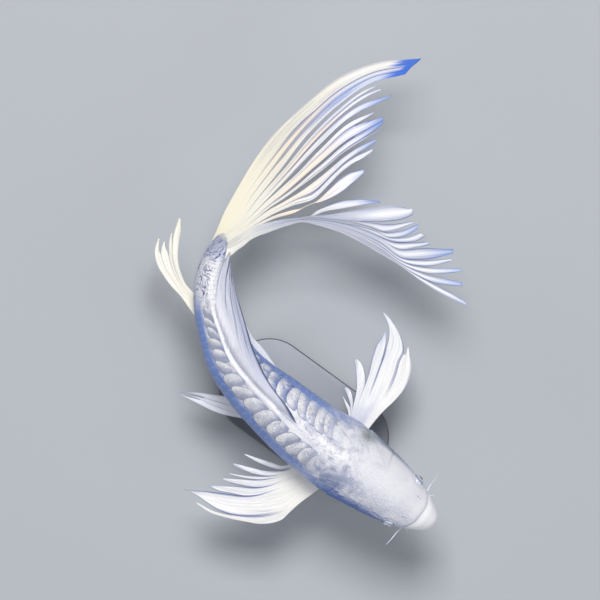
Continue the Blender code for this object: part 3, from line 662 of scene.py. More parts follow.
def eye_mesh(side, name):
    centre = eye_centre(side)
    _, left, up = spine_frame(EYE_FROM_SNOUT)
    ahead = np.cross(left, up)
    gaze = unit(left * side * 0.95 + up * 0.12 + ahead * 0.24)
    across = unit(np.cross(gaze, up))
    over = np.cross(across, gaze)
    points, off = [centre + gaze * (EYE_RADIUS - 0.05)], [(0.0, 0.0, 0.0)]
    for i in range(1, EYE_ROWS):
        bend = math.pi * i / EYE_ROWS
        radius = (EYE_RADIUS - EYE_BULGE) + 0.7 * math.exp(-((bend / 0.75) ** 2))
        for j in range(EYE_TURNS):
            turn = 2 * math.pi * j / EYE_TURNS
            way = gaze * math.cos(bend) + (across * math.cos(turn) + over * math.sin(turn)) * math.sin(bend)
            points.append(centre + way * radius)
            off.append((bend, math.cos(turn), math.sin(turn)))
    points.append(centre - gaze * (EYE_RADIUS - EYE_BULGE))
    off.append((math.pi, 0.0, 0.0))
    rear = fan_faces(len(points) - 1, 1 + (EYE_ROWS - 2) * EYE_TURNS, EYE_TURNS)
    faces = fan_faces(0, 1, EYE_TURNS) + [(a, c, b) for a, b, c in rear]
    faces += ring_faces(EYE_ROWS - 1, EYE_TURNS, 1)
    shape = piece("glass_eye_" + name, points, faces, "eye", ("eye_" + name,))
    keep(shape.data, "off", *np.array(off).T)
    return shape


def eye_finish():
    paint = Paint("glass eye", (128, 142, 176), coat_weight=1.0, coat_roughness=0.03)
    bend, around, over = paint.kept("off")
    fibres = paint.noise(paint.spot(around * 9.0, over * 9.0, bend * 1.5), 1.0, 3.0, 0.6)
    paint.over(fibres.rise(0.3, 0.7), 206, 212, 226)
    paint.over(bend.bump_at(0.44, 0.09), 196, 170, 110)
    paint.over(bend.rise(0.42, 0.39), 8, 8, 12)
    paint.over(bend.rise(0.84, 1.0), 96, 112, 152)
    paint.over(bend.rise(1.02, 1.12), 210, 216, 232)
    return paint.finish(fibres * 0.1 + 0.08)


eye_glass = eye_finish()
for eye_side, eye_name in ((1, "left"), (-1, "right")):
    eye_mesh(eye_side, eye_name).data.materials.append(eye_glass)

# ---------------------------------------------------------------- barbels
# Four soft feelers at the mouth: a long one at each corner and a short one on each side of the
# upper lip. Each is a tapering fleshy thread with faint rings.

BARBELS = {
    "long_left": (0.95, [(150, 13, -9), (147.5, 20, -10), (146, 27, -9), (146, 35, -7), (144, 45, -5)]),
    "long_right": (0.95, [(150, -15, -9), (148, -22, -10), (146.5, -30, -9), (146, -39, -7), (145, -48, -5)]),
    "short_left": (0.72, [(151, 13, -8), (151.5, 18, -9), (154, 21.5, -9), (158, 22, -9)]),
    "short_right": (0.72, [(151, -15, -8), (151.5, -20, -9), (153, -23, -9), (155.5, -25.5, -9)]),
}
BARBEL_STEPS = 90
BARBEL_TURNS = 18


def stack_faces(rings, around):
    """Faces of a closed piece from rings of points one over another, capped at both ends."""
    last = (rings - 1) * around
    sides = [face[:1] + face[:0:-1] for face in ring_faces(rings, around)]
    return [tuple(range(around))[::-1], *sides, tuple(range(last, last + around))]


def tube(line, radii):
    """Points and faces of a closed round tube along a line of points."""
    ahead = unit(np.gradient(line, axis=0))
    side = unit(np.cross(ahead, np.array([0.0, 0.0, 1.0])))
    over = np.cross(side, ahead)
    turns = even_turns(BARBEL_TURNS)[None, :, None]
    ring = np.cos(turns) * side[:, None] + np.sin(turns) * over[:, None]
    points = (line[:, None] + ring * radii[:, None, None]).reshape(-1, 3)
    return points, stack_faces(len(line), BARBEL_TURNS)


def barbel_finish():
    paint = Paint("feeler skin", (240, 240, 246))
    share, _, _ = paint.kept("share")
    bands = paint.noise(paint.place(), 500, 2.0)
    paint.over(share.rise(0.3, 1.0) * 0.7, 168, 190, 224)
    paint.over(bands.rise(0.5, 0.8) * 0.4, 150, 162, 200)
    return paint.finish(bands * 0.2 + 0.3, share.wave(26), 0.25, 0.0002)


barbel_skin = barbel_finish()
for barbel_name, (barbel_radius, barbel_points) in BARBELS.items():
    barbel_line = Smooth(by_length(barbel_points))
    shares = np.linspace(0, 1, BARBEL_STEPS)
    thick = barbel_radius * (1 - 0.6 * shares) * np.sqrt(np.clip((1 - shares) / 0.03, 0.15, 1))
    thick += barbel_radius * 0.9 * hill(shares, 0.1, 0.12)
    barbel_shape = piece(
        "feeler_" + barbel_name,
        *tube(barbel_line(shares * barbel_line.end), thick),
        "barbel_skin",
        ("barbel_" + barbel_name,),
    )
    keep(barbel_shape.data, "share", np.repeat(shares, BARBEL_TURNS))
    barbel_shape.data.materials.append(barbel_skin)

# ---------------------------------------------------------------- scales
# Thin horny plates in the skin, each with its front edge tucked under the one before. Large
# petal-like ones lie in a row down each side of the back, and plain rows cover the rest.

PLAIN_AROUND = 24  # plain scales round the body, as a carp has
PLAIN_FIRST = 104.0
PLAIN_LAST = 398.0
PLAIN_RINGS = 6
PLAIN_TURNS = 20
SCALE_TUCK = 0.75  # how far a scale's front edge is tucked into the skin
SCALE_WALL = -0.9  # where the foot of a scale's wall lies, under the skin
MAP_MARGIN = 0.02  # room round the scales' flat map
MAP_PATCH = 0.0014  # half of a scale's size on it


def plain_pitch(distance):
    """How far apart the rows of plain scales lie, closer together near the tail."""
    return 8.2 - 4.0 * ease(distance, 260, 385)


def plain_rows():
    """Distances from the snout of the rows of plain scales."""
    rows = [PLAIN_FIRST]
    while rows[-1] < PLAIN_LAST:
        rows.append(rows[-1] + plain_pitch(rows[-1]))
    return rows


def plates(name, scales, rings, turns):
    """One mesh of many scales. A scale is (distance, angle, half length along the body, half width
    in radians, rise of its free edge, how far its outer end lies back, squareness)."""
    scales = np.array(scales, float)
    radius = np.sqrt(np.linspace(0, 1, rings + 1)[1:])
    turn = even_turns(turns)
    disc_r, disc_t = np.meshgrid(radius, turn, indexing="ij")
    # The middle, the rings round it, and the last ring once more for the foot of the wall.
    rim0 = np.concatenate([[0], disc_r.ravel(), np.ones(turns)])
    turn0 = np.concatenate([[0], disc_t.ravel(), turn])
    back0, side0 = rim0 * np.cos(turn0), rim0 * np.sin(turn0)
    skirt = np.concatenate([np.zeros(1 + rings * turns), np.ones(turns)])
    distance, angle, long_half, wide_half, rise, lean, square = scales.T[:, :, None]
    # A squarer outline pushes the points on the rim out towards the corners.
    stretch = (np.abs(back0) ** square + np.abs(side0) ** square + 1e-9) ** (-1 / square)
    plain = np.hypot(back0, side0)
    factor = np.where(plain > 1e-6, stretch * plain, 1.0)
    back, side = back0 * factor, side0 * factor
    at = np.minimum(distance + back * long_half + lean * side, TAIL_END)
    around = angle + side * wide_half
    share = (back + 1) / 2
    outer = side * np.sign(lean)
    free = np.clip(share + 0.35 * np.maximum(outer, 0) * (1 - share), 0, 1)
    edge = 1 - rim0**10
    lift = 0.04 + rise * free
    lift = lift + 0.18 * (edge - 1) + 0.25 * (1 - side**2) * rise
    lift = lift - SCALE_TUCK * ease(share, 0.36, 0.10)
    lift = np.where(skirt > 0, SCALE_WALL, lift)
    points = skin_point(at, around, lift).reshape(-1, 3)
    base = 1 + rings * turns
    pattern = fan_faces(0, 1, turns) + ring_faces(rings + 1, turns, 1)
    pattern.append(tuple(range(base + turns - 1, base - 1, -1)))
    count = len(rim0)
    faces = [tuple(i + number * count for i in face) for number in range(len(scales)) for face in pattern]
    shape = piece(name, points, faces, "pearl_skin")
    keep(shape.data, "lie", *body_lie(at, around))
    keep(shape.data, "rim", *np.broadcast_arrays(rim0, share))
    own = np.random.default_rng(7).random((len(scales), 3))[:, 0]
    keep(shape.data, "own", np.repeat(own, count))
    unwrap = shape.data.uv_layers.new(name="OFBake")
    turn_share = (angle / (2 * math.pi)) % 1.0
    u = MAP_MARGIN + (1 - 2 * MAP_MARGIN) * distance / TAIL_END + MAP_PATCH * back
    v = MAP_MARGIN + (1 - 2 * MAP_MARGIN) * turn_share + MAP_PATCH * side
    flat = np.stack([u, v], axis=-1).reshape(-1, 2)
    corners = np.empty(len(shape.data.loops), dtype=np.int32)
    shape.data.loops.foreach_get("vertex_index", corners)
    unwrap.data.foreach_set("uv", flat[corners].astype(np.float32).ravel())
    return shape


PETAL_FIRST = 122.0
PETAL_LAST = 322.0
PETAL_RINGS = 10
PETAL_TURNS = 40
PETAL_INNER = 0.21  # how far from the ridge the large scales start, as a share of the half width
PETAL_OUTER = {1: 0.84, -1: 0.77}  # and where they end, on the left and on the right
PLAIN_BESIDE = {1: 0.80, -1: 0.74}  # the plain scales start under their outer ends


def petal_places(side):
    """The row of large scales down one side of the back, each about as wide as long."""
    chance = np.random.default_rng(11 if side > 0 else 23)
    made = []
    distance = PETAL_FIRST
    while distance < PETAL_LAST:
        outer = PETAL_OUTER[side] - 0.07 * ease(distance, 250, 320)
        outer += chance.uniform(-0.035, 0.03)
        near, far = math.acos(PETAL_INNER), math.acos(outer)
        middle = (near + far) / 2
        half = (near - far) / 2 * chance.uniform(0.86, 1.07)
        pitch = 12.4 + (5.0 if side < 0 else 2.5) * hill(distance, 214, 26)
        pitch -= 2.0 * ease(distance, 250, 320)
        angle = middle if side > 0 else math.pi - middle
        rise = 0.72 * ease(distance, 116, 150) + 0.10
        lean = -side * chance.uniform(0.5, 7.5)
        made.append((distance, angle, pitch * 0.82, half, rise, lean, chance.uniform(2.3, 3.1)))
        distance += pitch * chance.uniform(0.86, 1.14)
    return made


def plain_places(side):
    """The plain scales of one side, in rows that are offset by half a scale."""
    made = []
    turn = 2 * math.pi / PLAIN_AROUND
    for number, distance in enumerate(plain_rows()):
        for slot in range(PLAIN_AROUND):
            angle = (slot + 0.5 * (number % 2) + 0.25) * turn
            flank, upward = math.cos(angle) * side, math.sin(angle)
            at_head = distance < gill_edge(angle) + 5 or distance < PETAL_FIRST and upward > 0.5
            on_back = upward > 0 and flank < PLAIN_BESIDE[side]
            under_petals = on_back and PETAL_FIRST - 6 < distance < PETAL_LAST + 4
            if flank <= 0 or at_head or under_petals or upward < -0.86 and distance < 190:
                continue
            rise = 0.30 + 0.16 * ease(distance, 315, 345) * (upward > -0.4)
            made.append((distance, angle, plain_pitch(distance) * 0.86, 0.62 * turn, rise, 0.0, 2.15))
    return made


def petal_markings(paint, root, swirls, rim, share, own):
    """The large scales' colours, darker at the root with painted shade where each lies under the one
    before, with veins and a thin dark edge.
    """
    along, left, _ = paint.kept("lie")
    where = paint.place()
    # The root is painted in shade, where the scale before overlaps it, and turns pale to the free end.
    under, paint.color = paint.color, tone(*root)
    grow = share * (0.8 + own * 0.3) + (paint.noise(where, 130, 3.0) - 0.5) * 0.45
    grow = grow - along.rise(232 / TAIL_END, 290 / TAIL_END) * (own * 0.25 + 0.08)
    pale = along.rise(215 / TAIL_END, 160 / TAIL_END) * left.rise(-0.1, 0.1)
    paint.over(pale * 0.7, 196, 201, 216)
    paint.over(grow.rise(0.30, 0.70), 238, 238, 243)
    paint.over(rim.rise(0.70, 0.95) * share.rise(0.5, 0.9) * 0.3, *WARM_CREAM)
    veins = paint.noise(where, 240, 4.0, 0.6, 1.2)
    paint.over(veins.bump_at(0.5, 0.05) * 0.4, 138, 144, 170)
    paint.over(veins.rise(0.5, 0.7) * 0.35, 196, 199, 212)
    paint.over(own.rise(0.55, 0.9) * 0.3, *HAZE)
    paint.over(paint.noise(where, 75, 3.0, 0.6).rise(0.46, 0.62) * 0.4, 170, 172, 184)
    paint.over(rim.rise(0.92, 0.98) * 0.7, 104, 116, 160)
    paint.over(left.rise(0.64, 0.86) * 0.55, 132, 160, 216)
    folds = paint.noise(where, 48, 3.0, 0.5, 1.8).bump_at(0.5, 0.03) * along.rise(0.62, 0.45)
    paint.over(folds * 0.5, 126, 133, 162)
    paint.over(swirls * 0.8, 66, 92, 158)
    shoulder = along.rise(PETAL_FIRST / TAIL_END, 158 / TAIL_END) * 0.85 + 0.15
    paint.color = paint.mix(shoulder, under, paint.color)


def plain_markings(paint, rim, share):
    """A thin dark net where the plain scales end, pale and cream edges, and painted shade at the
    front of each, where it lies under the one before.
    """
    net = rim.rise(0.84, 0.97) * share.rise(0.4, 0.8)
    net = net * paint.noise(paint.place(), 120, 3.0, 0.6).rise(0.45, 0.6)
    paint.over(net * 0.35, 112, 124, 164)
    paint.over(rim.rise(0.80, 0.93) * share.rise(0.45, 0.8) * 0.20, 176, 188, 218)
    paint.over(rim.rise(0.93, 0.99) * share.rise(0.3, 0.6) * 0.35, 72, 92, 150)
    paint.over(rim.rise(0.75, 1.0) * 0.12, *WARM_CREAM)
    # Painted shade at the front of each scale, under the edge of the one before.
    paint.over(share.rise(0.5, 0.1) * 0.18, 120, 134, 180)


def scale_finish(name, root=None):
    """A scale's paint. root is the colour of the painted shade at the root of a large one."""
    paint = Paint(name, PEARL, specular_ior_level=0.32)
    _, swirls = body_markings_and_painted_light(paint)
    rim, share, _ = paint.kept("rim")
    own, _, _ = paint.kept("own")
    where = paint.place()
    rings = (share * 46.0 + paint.noise(where, 160, 2.0) * 3.0).math("SINE") * 0.5 + 0.5
    fine = paint.noise(where, 420, 3.0, 0.6)
    if root:
        petal_markings(paint, root, swirls, rim, share, own)
    else:
        plain_markings(paint, rim, share)
    return paint.finish(0.26 + fine * 0.16, rings * 0.4 + fine * 0.6, 0.16, 0.0003)


# The colours of the painted shade at the large scales' roots.
petal_paints = {
    1: scale_finish("left petal scales", (88, 114, 180)),
    -1: scale_finish("right petal scales", (150, 156, 182)),
}
plain_paint = scale_finish("plain scales")
for coat_side, coat_name in ((1, "left"), (-1, "right")):
    petals = plates("back_scales_" + coat_name, petal_places(coat_side), PETAL_RINGS, PETAL_TURNS)
    petals.data.materials.append(petal_paints[coat_side])
    coat = plates("scale_coat_" + coat_name, plain_places(coat_side), PLAIN_RINGS, PLAIN_TURNS)
    coat.data.materials.append(plain_paint)

# ---------------------------------------------------------------- fins
# Thin webs of skin stretched over soft branching rays, split between the rays into long tapering
# fingers. Each is worked out as a fan of guide lines, then thickened, with its rays standing out.

FIN_EDGE = 0.62  # the web is about this thick away from the root
FIN_THINNING = 2.2  # how soon a fin thins out from its root
FIN_SPRING = 9.0  # how much wider than the body the folded back fin's arc is
TIP_ROUNDING = 1.5
LAST_ROW = 0.35  # a row of points this near a finger's tip, in steps, gives way to the tip
NUDGE = 0.01  # a small step across a fin, to measure how wide it is there
CELLS_TO_A_RAY = 6
LEAST_FINGER = 1.2  # a finger is never narrower than this before its tip


def monotone(places, values, at):
    """Smooth values between guides that never pass beyond them."""
    step = np.diff(places)
    slope = np.diff(values) / step
    product = slope[:-1] * slope[1:]
    inner = np.where(product > 0, 2 * product / (slope[:-1] + slope[1:] + 1e-12), 0)
    slopes = np.concatenate([[slope[0]], inner, [slope[-1]]])
    i = np.clip(np.searchsorted(places, at) - 1, 0, len(places) - 2)
    t = (at - places[i]) / step[i]
    return between(t, step[i], values[i], values[i + 1], slopes[i], slopes[i + 1])


def slit_width(slit, out):
    """How wide a slit is at a share of the way out. One that ends inside the fin is a window."""
    _, start, end, widest, spread = slit
    if out <= start or end < 1 and out >= end:
        return 0.0
    along = (out - start) / (end - start)
    width = widest * min(1.0, along / spread) ** 0.8
    if end < 1:
        width *= min(1.0, (1 - along) / spread) ** 0.8
    return width


def level_sheet(x, y, height):
    """A point of a fin that is given as seen from above."""
    return np.array((x, y, height))


def over_back(distance, sideways, lift):
    """A point over the back that droops less than the flank does, as a folded fin lies."""
    here, across, upward = rolled_frame(distance)
    width, height, _, _ = section(distance)
    rise = (height + lift) * math.sqrt(max(0.0, 1 - (sideways / (width + FIN_SPRING)) ** 2))
    return here + across * sideways + upward * rise


def fin(name, node, guides, slits, fingers, steps, root_thick, ray_count, paint, lie=level_sheet, settle=2,
        ripple=1.2, ribs=1.0):
    """A fin, placed across from 0 to 1 and out from 0 to 1.
    A guide is (place across, root height, tip height, line seen from above).
    A slit is (place across, start, end, width, share of its length in which it opens).
    A finger lies between each two slits: (reach, width left at its tip, share of its reach where
    it starts to narrow, and whether its tip is at its first side, 0, its last side, 1, or between).
    lie turns a guide's numbers into a point, and settle says how soon it has its tip's height.
    ribs is how far the rays stand out."""
    guides = [(across, low, high, Smooth(by_length(line))) for across, low, high, line in guides]
    places = np.array([guide[0] for guide in guides], float)
    columns = {}

    def column(out):
        if out not in columns:
            spots = []
            for _, root_height, tip_height, line in guides:
                x, y = line(out * line.end)
                height = tip_height + (root_height - tip_height) * (1 - out) ** settle
                spots.append(lie(x, y, height))
            columns[out] = np.array(spots)
        return columns[out]

    def points_at(out, across):
        return np.stack([monotone(places, axis, across) for axis in column(out).T], axis=-1)

    def spacing(out, across):
        """Millimetres for each unit across."""
        pair = points_at(out, np.array([across - NUDGE, across + NUDGE]))
        return np.linalg.norm(pair[1] - pair[0]) / (2 * NUDGE)

    corners, points, kept, faces = {}, [], [], []

    def edges_of(index, out):
        reach, tip_share, shoulder, tip_place = fingers[index]
        edges, free = [], []
        for side in (0, 1):
            if index + side in (0, len(fingers)):
                edges.append(float(side))
                free.append(True)
                continue
            slit = slits[index + side - 1]
            half = slit_width(slit, out) / 2 / spacing(out, slit[0])
            edges.append(slit[0] + (half if side == 0 else -half))
            free.append(half > 0)
        middle = sum(edges) / 2
        least = LEAST_FINGER / spacing(out, middle)
        if all(free) and edges[1] - edges[0] < least:
            edges = [middle - least / 2, middle + least / 2]
        past = max(0.0, out / reach - shoulder) / (1 - shoulder)
        width = 1 - (1 - tip_share) * min(1.0, past) ** TIP_ROUNDING
        anchor = edges[0] + (edges[1] - edges[0]) * tip_place
        edges = [anchor + (edge - anchor) * width if loose else edge for edge, loose in zip(edges, free)]
        return edges, free

    for index, (reach, *_) in enumerate(fingers):
        first = slits[index - 1][0] if index else 0.0
        last = slits[index][0] if index < len(slits) else 1.0
        cells = max(4, round((last - first) * ray_count * CELLS_TO_A_RAY))
        stops = [(i / steps, i) for i in range(steps + 1) if i < reach * steps - LAST_ROW]
        stops.append((reach, ("tip", reach)))
        grid = []
        for out, key in stops:
            (start, end), free = edges_of(index, out)
            share = np.linspace(0, 1, cells + 1)
            across = start + (end - start) * share
            spots = points_at(out, across)
            ids = []
            for j in range(cells + 1):
                side = 0 if j == 0 else 1 if j == cells else None
                mark = (index, j, key)
                if side is not None and not free[side]:
                    mark = ("shared", index + side, key)
                if mark not in corners:
                    corners[mark] = len(points)
                    points.append(spots[j])
                    kept.append((out, across[j], share[j], index))
                ids.append(corners[mark])
            grid.append(ids)
        for row, after in zip(grid, grid[1:]):
            for j in range(cells):
                faces.append((row[j], row[j + 1], after[j + 1], after[j]))

    points = np.array(points)
    out, across, share, finger = np.array(kept).T
    swell = np.sin(across * 9.0 + out * 4.0 + 0.7) * np.sin(out * 5.5 + across * 3.0)
    points[:, 2] += ripple * swell * ease(out, 0.25, 0.9)
    shape = piece(name, points, faces, "fin_web", (node,))
    width = ease(out, 0.0, 0.12)
    ray = 0.5 + 0.5 * np.cos(across * ray_count * 2 * math.pi)
    branch = 0.5 + 0.5 * np.cos(across * ray_count * 4 * math.pi)
    ridges = (ray**2 * (1 - ease(out, 0.45, 0.8)) + branch**2 * 0.75 * ease(out, 0.4, 0.7)) * ribs
    web = FIN_EDGE * (0.62 + 0.55 * ridges * width * (1 - 0.5 * ease(out, 0.7, 1.0)))
    thickness = np.maximum(root_thick * np.clip(1 - out * FIN_THINNING, 0, 1) ** TIP_ROUNDING, web)
    thickness += 0.45 * ridges * (1 - ease(out, 0.2, 0.6)) * ease(out, 0.05, 0.2)
    thickest = float(thickness.max())
    group = shape.vertex_groups.new(name="thickness")
    for number, amount in enumerate(thickness / thickest):
        group.add([number], float(amount), "REPLACE")
    thicken = shape.modifiers.new("Thickness", "SOLIDIFY")
    thicken.thickness = thickest * MM
    thicken.offset = 0
    thicken.vertex_group = "thickness"
    thicken.thickness_vertex_group = 0.0
    keep(shape.data, "fan", out, across, share)
    # Painted shade along the web where each slit begins.
    seam = np.zeros(len(out))
    for place, start, *_ in slits:
        seam = np.maximum(seam, hill(across, place, 0.22 / ray_count) * ease(out, start * 0.5, start))
    keep(shape.data, "which", seam, (finger * 0.37) % 1.0)
    shape.data.materials.append(paint)
    return shape


def fin_finish(name, ray_count, cream=0.55, blue_from=0.8, blue=0.7, base=(242, 242, 248), tint=0.0,
               far=None, web=0.22, root=(247, 243, 226), front=None, thread=0.5,
               tip=(112, 146, 208), outline=0.0, ribs=0.25, bright=0.0, edges=0.9, seams=0.75):
    """cream is the share of the way out that the root's colour reaches, blue_from and blue the
    start and strength of the blue tips, and far is (from, first place, last place) of deep blue.
    web is how dark the web is between the rays, front a colour of the fin's first rays, thread how
    dark its finest lines are, outline how dark the painted shadow along its free front edge is, ribs
    how far its fine rays stand out, bright how white its fingers' middles are, edges how dark its
    slits' edges are, and seams how dark the painted shade is where the slits begin."""
    paint = Paint(name, base, coat_roughness=0.25, specular_ior_level=0.45)
    out, across, share = paint.kept("fan")
    seam, chance, _ = paint.kept("which")
    strands = paint.noise(paint.spot(across * 90.0, out * 2.0), 1.0, 3.0, 0.6)
    cloud = paint.noise(paint.place(), 55, 3.0, 0.6)
    creamy = (out + (cloud - 0.5) * 0.3).rise(cream + 0.2, cream - 0.25)
    paint.over(creamy, *root)
    if front:
        lead = across.rise(0.5, 0.2) * strands.rise(0.2, 0.6) * 0.85
        if outline:
            lead = lead * out.rise(0.02, 0.22)
        paint.over(lead, *front)
    threads = paint.noise(paint.spot(across * 150.0, out * 1.6, 4.0), 1.0, 2.0, 0.5)
    paint.over(strands.rise(0.45, 0.7) * out.rise(0.05, 0.4) * 0.55, 192, 196, 212)
    paint.over(threads.bump_at(0.56, 0.05) * out.rise(0.2, 0.5) * thread, 92, 108, 156)
    rays = (across.wave(ray_count) ** 3.0) * (1 - out.rise(0.5, 0.8))
    branches = (across.wave(ray_count * 2) ** 3.0) * out.rise(0.45, 0.7)
    lines = (rays + branches).math("MINIMUM", 1.0)
    paint.over((1 - lines) * web, 158, 166, 194)
    if bright:
        paint.over(out.rise(0.62, 0.82) * share.bump_at(0.5, 0.4) * bright, 246, 246, 250)
    if tint:
        warm = chance.bump_at(0.5, 0.35) * out.bump_at(0.55, 0.3) * tint
        paint.over(warm, 250, 226, 200)
    rim = (share.rise(0.13, 0.0) + share.rise(0.87, 1.0)).math("MINIMUM", 1.0) * out.rise(0.3, 0.55)
    rim = rim * across.rise(0.0, 0.015) * across.rise(1.0, 0.985)
    paint.over(rim * edges, 58, 82, 152)
    # Painted shade where the slits begin.
    paint.over(seam * seams, 64, 82, 146)
    # Painted shadow along the free front edge, where the fin lies over the body.
    if outline:
        edge = across.rise(0.09, 0.02) * out.rise(0.0, 0.08)
        paint.over(edge * outline, 40, 58, 108)
    tips = (out + (strands - 0.5) * 0.14 + (chance - 0.5) * 0.08).rise(blue_from, blue_from + 0.2)
    paint.over(tips * blue * chance.rise(-0.2, 0.6), *tip)
    if far:
        lit = (out + (strands - 0.5) * 0.3).bump_at(0.74, 0.30) * across.bump_at(0.30, 0.17)
        paint.over(lit * strands.rise(0.36, 0.58) * 0.85, 118, 150, 216)
        deep = (out + (strands - 0.5) * 0.16).rise(far[0], far[0] + 0.05)
        deep = deep * across.rise(far[1] - 0.03, far[1]) * across.rise(far[2] + 0.03, far[2])
        split = (across + (strands - 0.5) * 0.08).bump_at(0.22, 0.09) * out.rise(0.975, 0.95)
        deep = deep * (1 - split)
        paint.over(deep * 0.97, 0, 92, 202)
    fine = paint.noise(paint.spot(across * 260.0, out * 30.0), 1.0, 2.0)
    return paint.finish(0.36 + strands * 0.16, lines * 0.7 + fine * 0.3, ribs, 0.0003)


LEFT_PECTORAL = dict(
    guides=[
        (0, -26, -34, [(60, 24), (62, 62), (65, 78), (66, 93), (64, 104), (58, 117), (50, 126),
            (44, 132), (36, 139), (26, 144), (18, 144)]),
        (0.24, -27, -35, [(57, 25), (56, 60), (53, 86), (49, 102), (45, 113), (43, 124), (35, 134),
            (25, 141), (18, 143)]),
        (0.42, -28, -36, [(54, 25), (51, 56), (45, 85), (37, 110), (30, 130), (18, 141), (0, 146)]),
        (0.6, -29, -35, [(51, 24), (46, 46), (40, 68), (33, 93), (27, 112), (20, 126), (14, 133)]),
        (0.78, -30, -33, [(48, 24), (40, 45), (34, 60), (30, 74), (26, 84), (18, 100), (13, 114),
            (11, 124)]),
        (0.9, -31, -32, [(44, 24), (38, 38), (34, 46), (29, 56), (21, 67), (11, 78), (4, 85)]),
        (0.96, -31, -32, [(42, 24), (36, 39), (31, 46), (25, 50), (16, 55)]),
        (1, -31, -32, [(40, 24), (34, 39), (27, 44), (18, 50)]),
    ],
    slits=[
        (0.24, 0.74, 1, 2, 0.6), (0.6, 0.7, 1, 1.6, 0.3), (0.78, 0.49, 1, 11, 1),
        (0.9, 0.33, 1, 6.5, 0.4), (0.96, 0.57, 1, 3, 0.6),
    ],
    fingers=[
        (0.79, 0.25, 0.85, 0.1), (1, 0.12, 0.8, 0.5), (0.98, 0.3, 0.88, 0.05), (0.94, 0.1, 0.5, 0.9),
        (0.98, 0.15, 0.3, 1), (0.98, 0.15, 0.5, 1),
    ],
)
RIGHT_PECTORAL = dict(
    guides=[
        (0, -27, -35, [(56, -24), (56, -38), (52, -53), (48, -66), (45, -80), (43, -91), (37, -100),
            (29, -107), (14, -115), (-6, -124), (-21, -129), (-38, -130)]),
        (0.14, -28, -35, [(53, -25), (47, -39), (45, -62), (40, -82), (27, -98), (10, -111), (-3, -118),
            (-24, -124), (-37, -124), (-48, -124)]),
        (0.34, -29, -36, [(49, -26), (42, -38), (37, -58), (28, -74), (16, -88), (-2, -102), (-21, -112),
            (-40, -120), (-58, -126)]),
        (0.54, -30, -35, [(44, -26), (38, -39), (25, -61), (16, -74), (6, -87), (-4, -95), (-16, -101),
            (-30, -108), (-42, -112), (-53, -118)]),
        (0.68, -31, -34, [(40, -26), (32, -38), (20, -57), (12, -70), (2, -80), (-12, -88), (-27, -95),
            (-39, -99)]),
        (0.8, -31, -33, [(35, -26), (27, -38), (18, -52), (8, -64), (-1, -72), (-14, -80), (-29, -87),
            (-37, -91)]),
        (0.9, -31, -32, [(30, -26), (24, -37), (17, -50), (5, -63), (-6, -70), (-21, -77), (-36, -81)]),
        (0.96, -31, -32, [(26, -26), (22, -37), (14, -49), (3, -56), (-10, -61), (-23, -64),
            (-34, -66)]),
        (1, -31, -32, [(23, -26), (18, -36), (11, -45), (-2, -50), (-15, -54), (-30, -58)]),
    ],
    slits=[
        (0.14, 0.71, 1, 3.2, 0.6), (0.54, 0.61, 1, 2.6, 0.6), (0.68, 0.59, 1, 2.8, 0.6),
        (0.8, 0.59, 1, 2.2, 0.6), (0.9, 0.51, 1, 3.2, 0.6), (0.96, 0.34, 1, 5, 0.4),
    ],
    fingers=[
        (1, 0.2, 0.6, 0.05), (1, 0.1, 0.78, 0.5), (0.9, 0.35, 0.85, 0.3), (0.93, 0.25, 0.8, 0.35),
        (0.92, 0.2, 0.6, 0.3), (0.96, 0.2, 0.6, 0.45), (0.96, 0.2, 0.5, 0.8),
    ],
)
left_pectoral_paint = fin_finish("left pectoral web", 18, cream=0.26, blue_from=0.84, blue=0.5, web=0.04,
                                 base=(244, 244, 244), root=(176, 180, 204), front=(249, 247, 240),
                                 thread=0.3, ribs=0.1, seams=0.45)
right_pectoral_paint = fin_finish("right pectoral web", 18, cream=0.45, blue_from=0.84, blue=0.7, web=0.05,
                                  base=(246, 245, 245), root=(250, 248, 238), front=(252, 249, 240),
                                  tip=(96, 118, 172), thread=0.5, ribs=0.1, edges=1.0, seams=0.95)
fin("pectoral_web_left", "pectoral_fin_left", **LEFT_PECTORAL, steps=110, root_thick=5.0, ray_count=18,
    paint=left_pectoral_paint, ribs=0.5)
fin("pectoral_web_right", "pectoral_fin_right", **RIGHT_PECTORAL, steps=120, root_thick=5.0, ray_count=18,
    paint=right_pectoral_paint, ribs=0.5)

# Pelvic fins: the right one is spread, and the left one lies back along the belly.
PELVIC_SPLITS = dict(
    slits=[(0.4, 0.78, 1, 1.2, 0.8), (0.7, 0.74, 1, 1.4, 0.8)],
    fingers=[(0.98, 0.2, 0.7, 0), (0.9, 0.2, 0.7, 0), (0.97, 0.2, 0.7, 0.95)],
)
RIGHT_PELVIC = [
    (0, -32, -58, [(-16, -11), (-53, -31), (-73, -40), (-84, -43), (-96, -45), (-123, -49)]),
    (0.5, -32, -58, [(-25, -10), (-57, -27), (-85, -36), (-104, -41), (-120, -49)]),
    (1, -31, -56, [(-34, -9), (-62, -17), (-79, -22), (-88, -27), (-103, -35), (-122, -48)]),
]
LEFT_PELVIC = [
    (0, -32, -40, [(-16, 11), (-45, 29), (-64, 37), (-80, 42), (-92, 44), (-103, 49), (-121, 60)]),
    (0.5, -32, -42, [(-25, 10), (-58, 26), (-86, 34), (-119, 56)]),
    (1, -31, -43, [(-34, 9), (-64, 18), (-88, 26), (-114, 48)]),
]
pelvic_paint = fin_finish("pelvic web", 12, cream=0.3, blue_from=0.8, blue=0.5, base=(236, 238, 246),
                          root=(228, 231, 242), thread=0.2, web=0.08, ribs=0.1, edges=0.6, seams=0.2)
for pelvic_side, pelvic_guides in (("right", RIGHT_PELVIC), ("left", LEFT_PELVIC)):
    fin("pelvic_web_" + pelvic_side, "pelvic_fin_" + pelvic_side, pelvic_guides, **PELVIC_SPLITS, steps=90,
        root_thick=3.6, ray_count=12, paint=pelvic_paint, ripple=0.6)

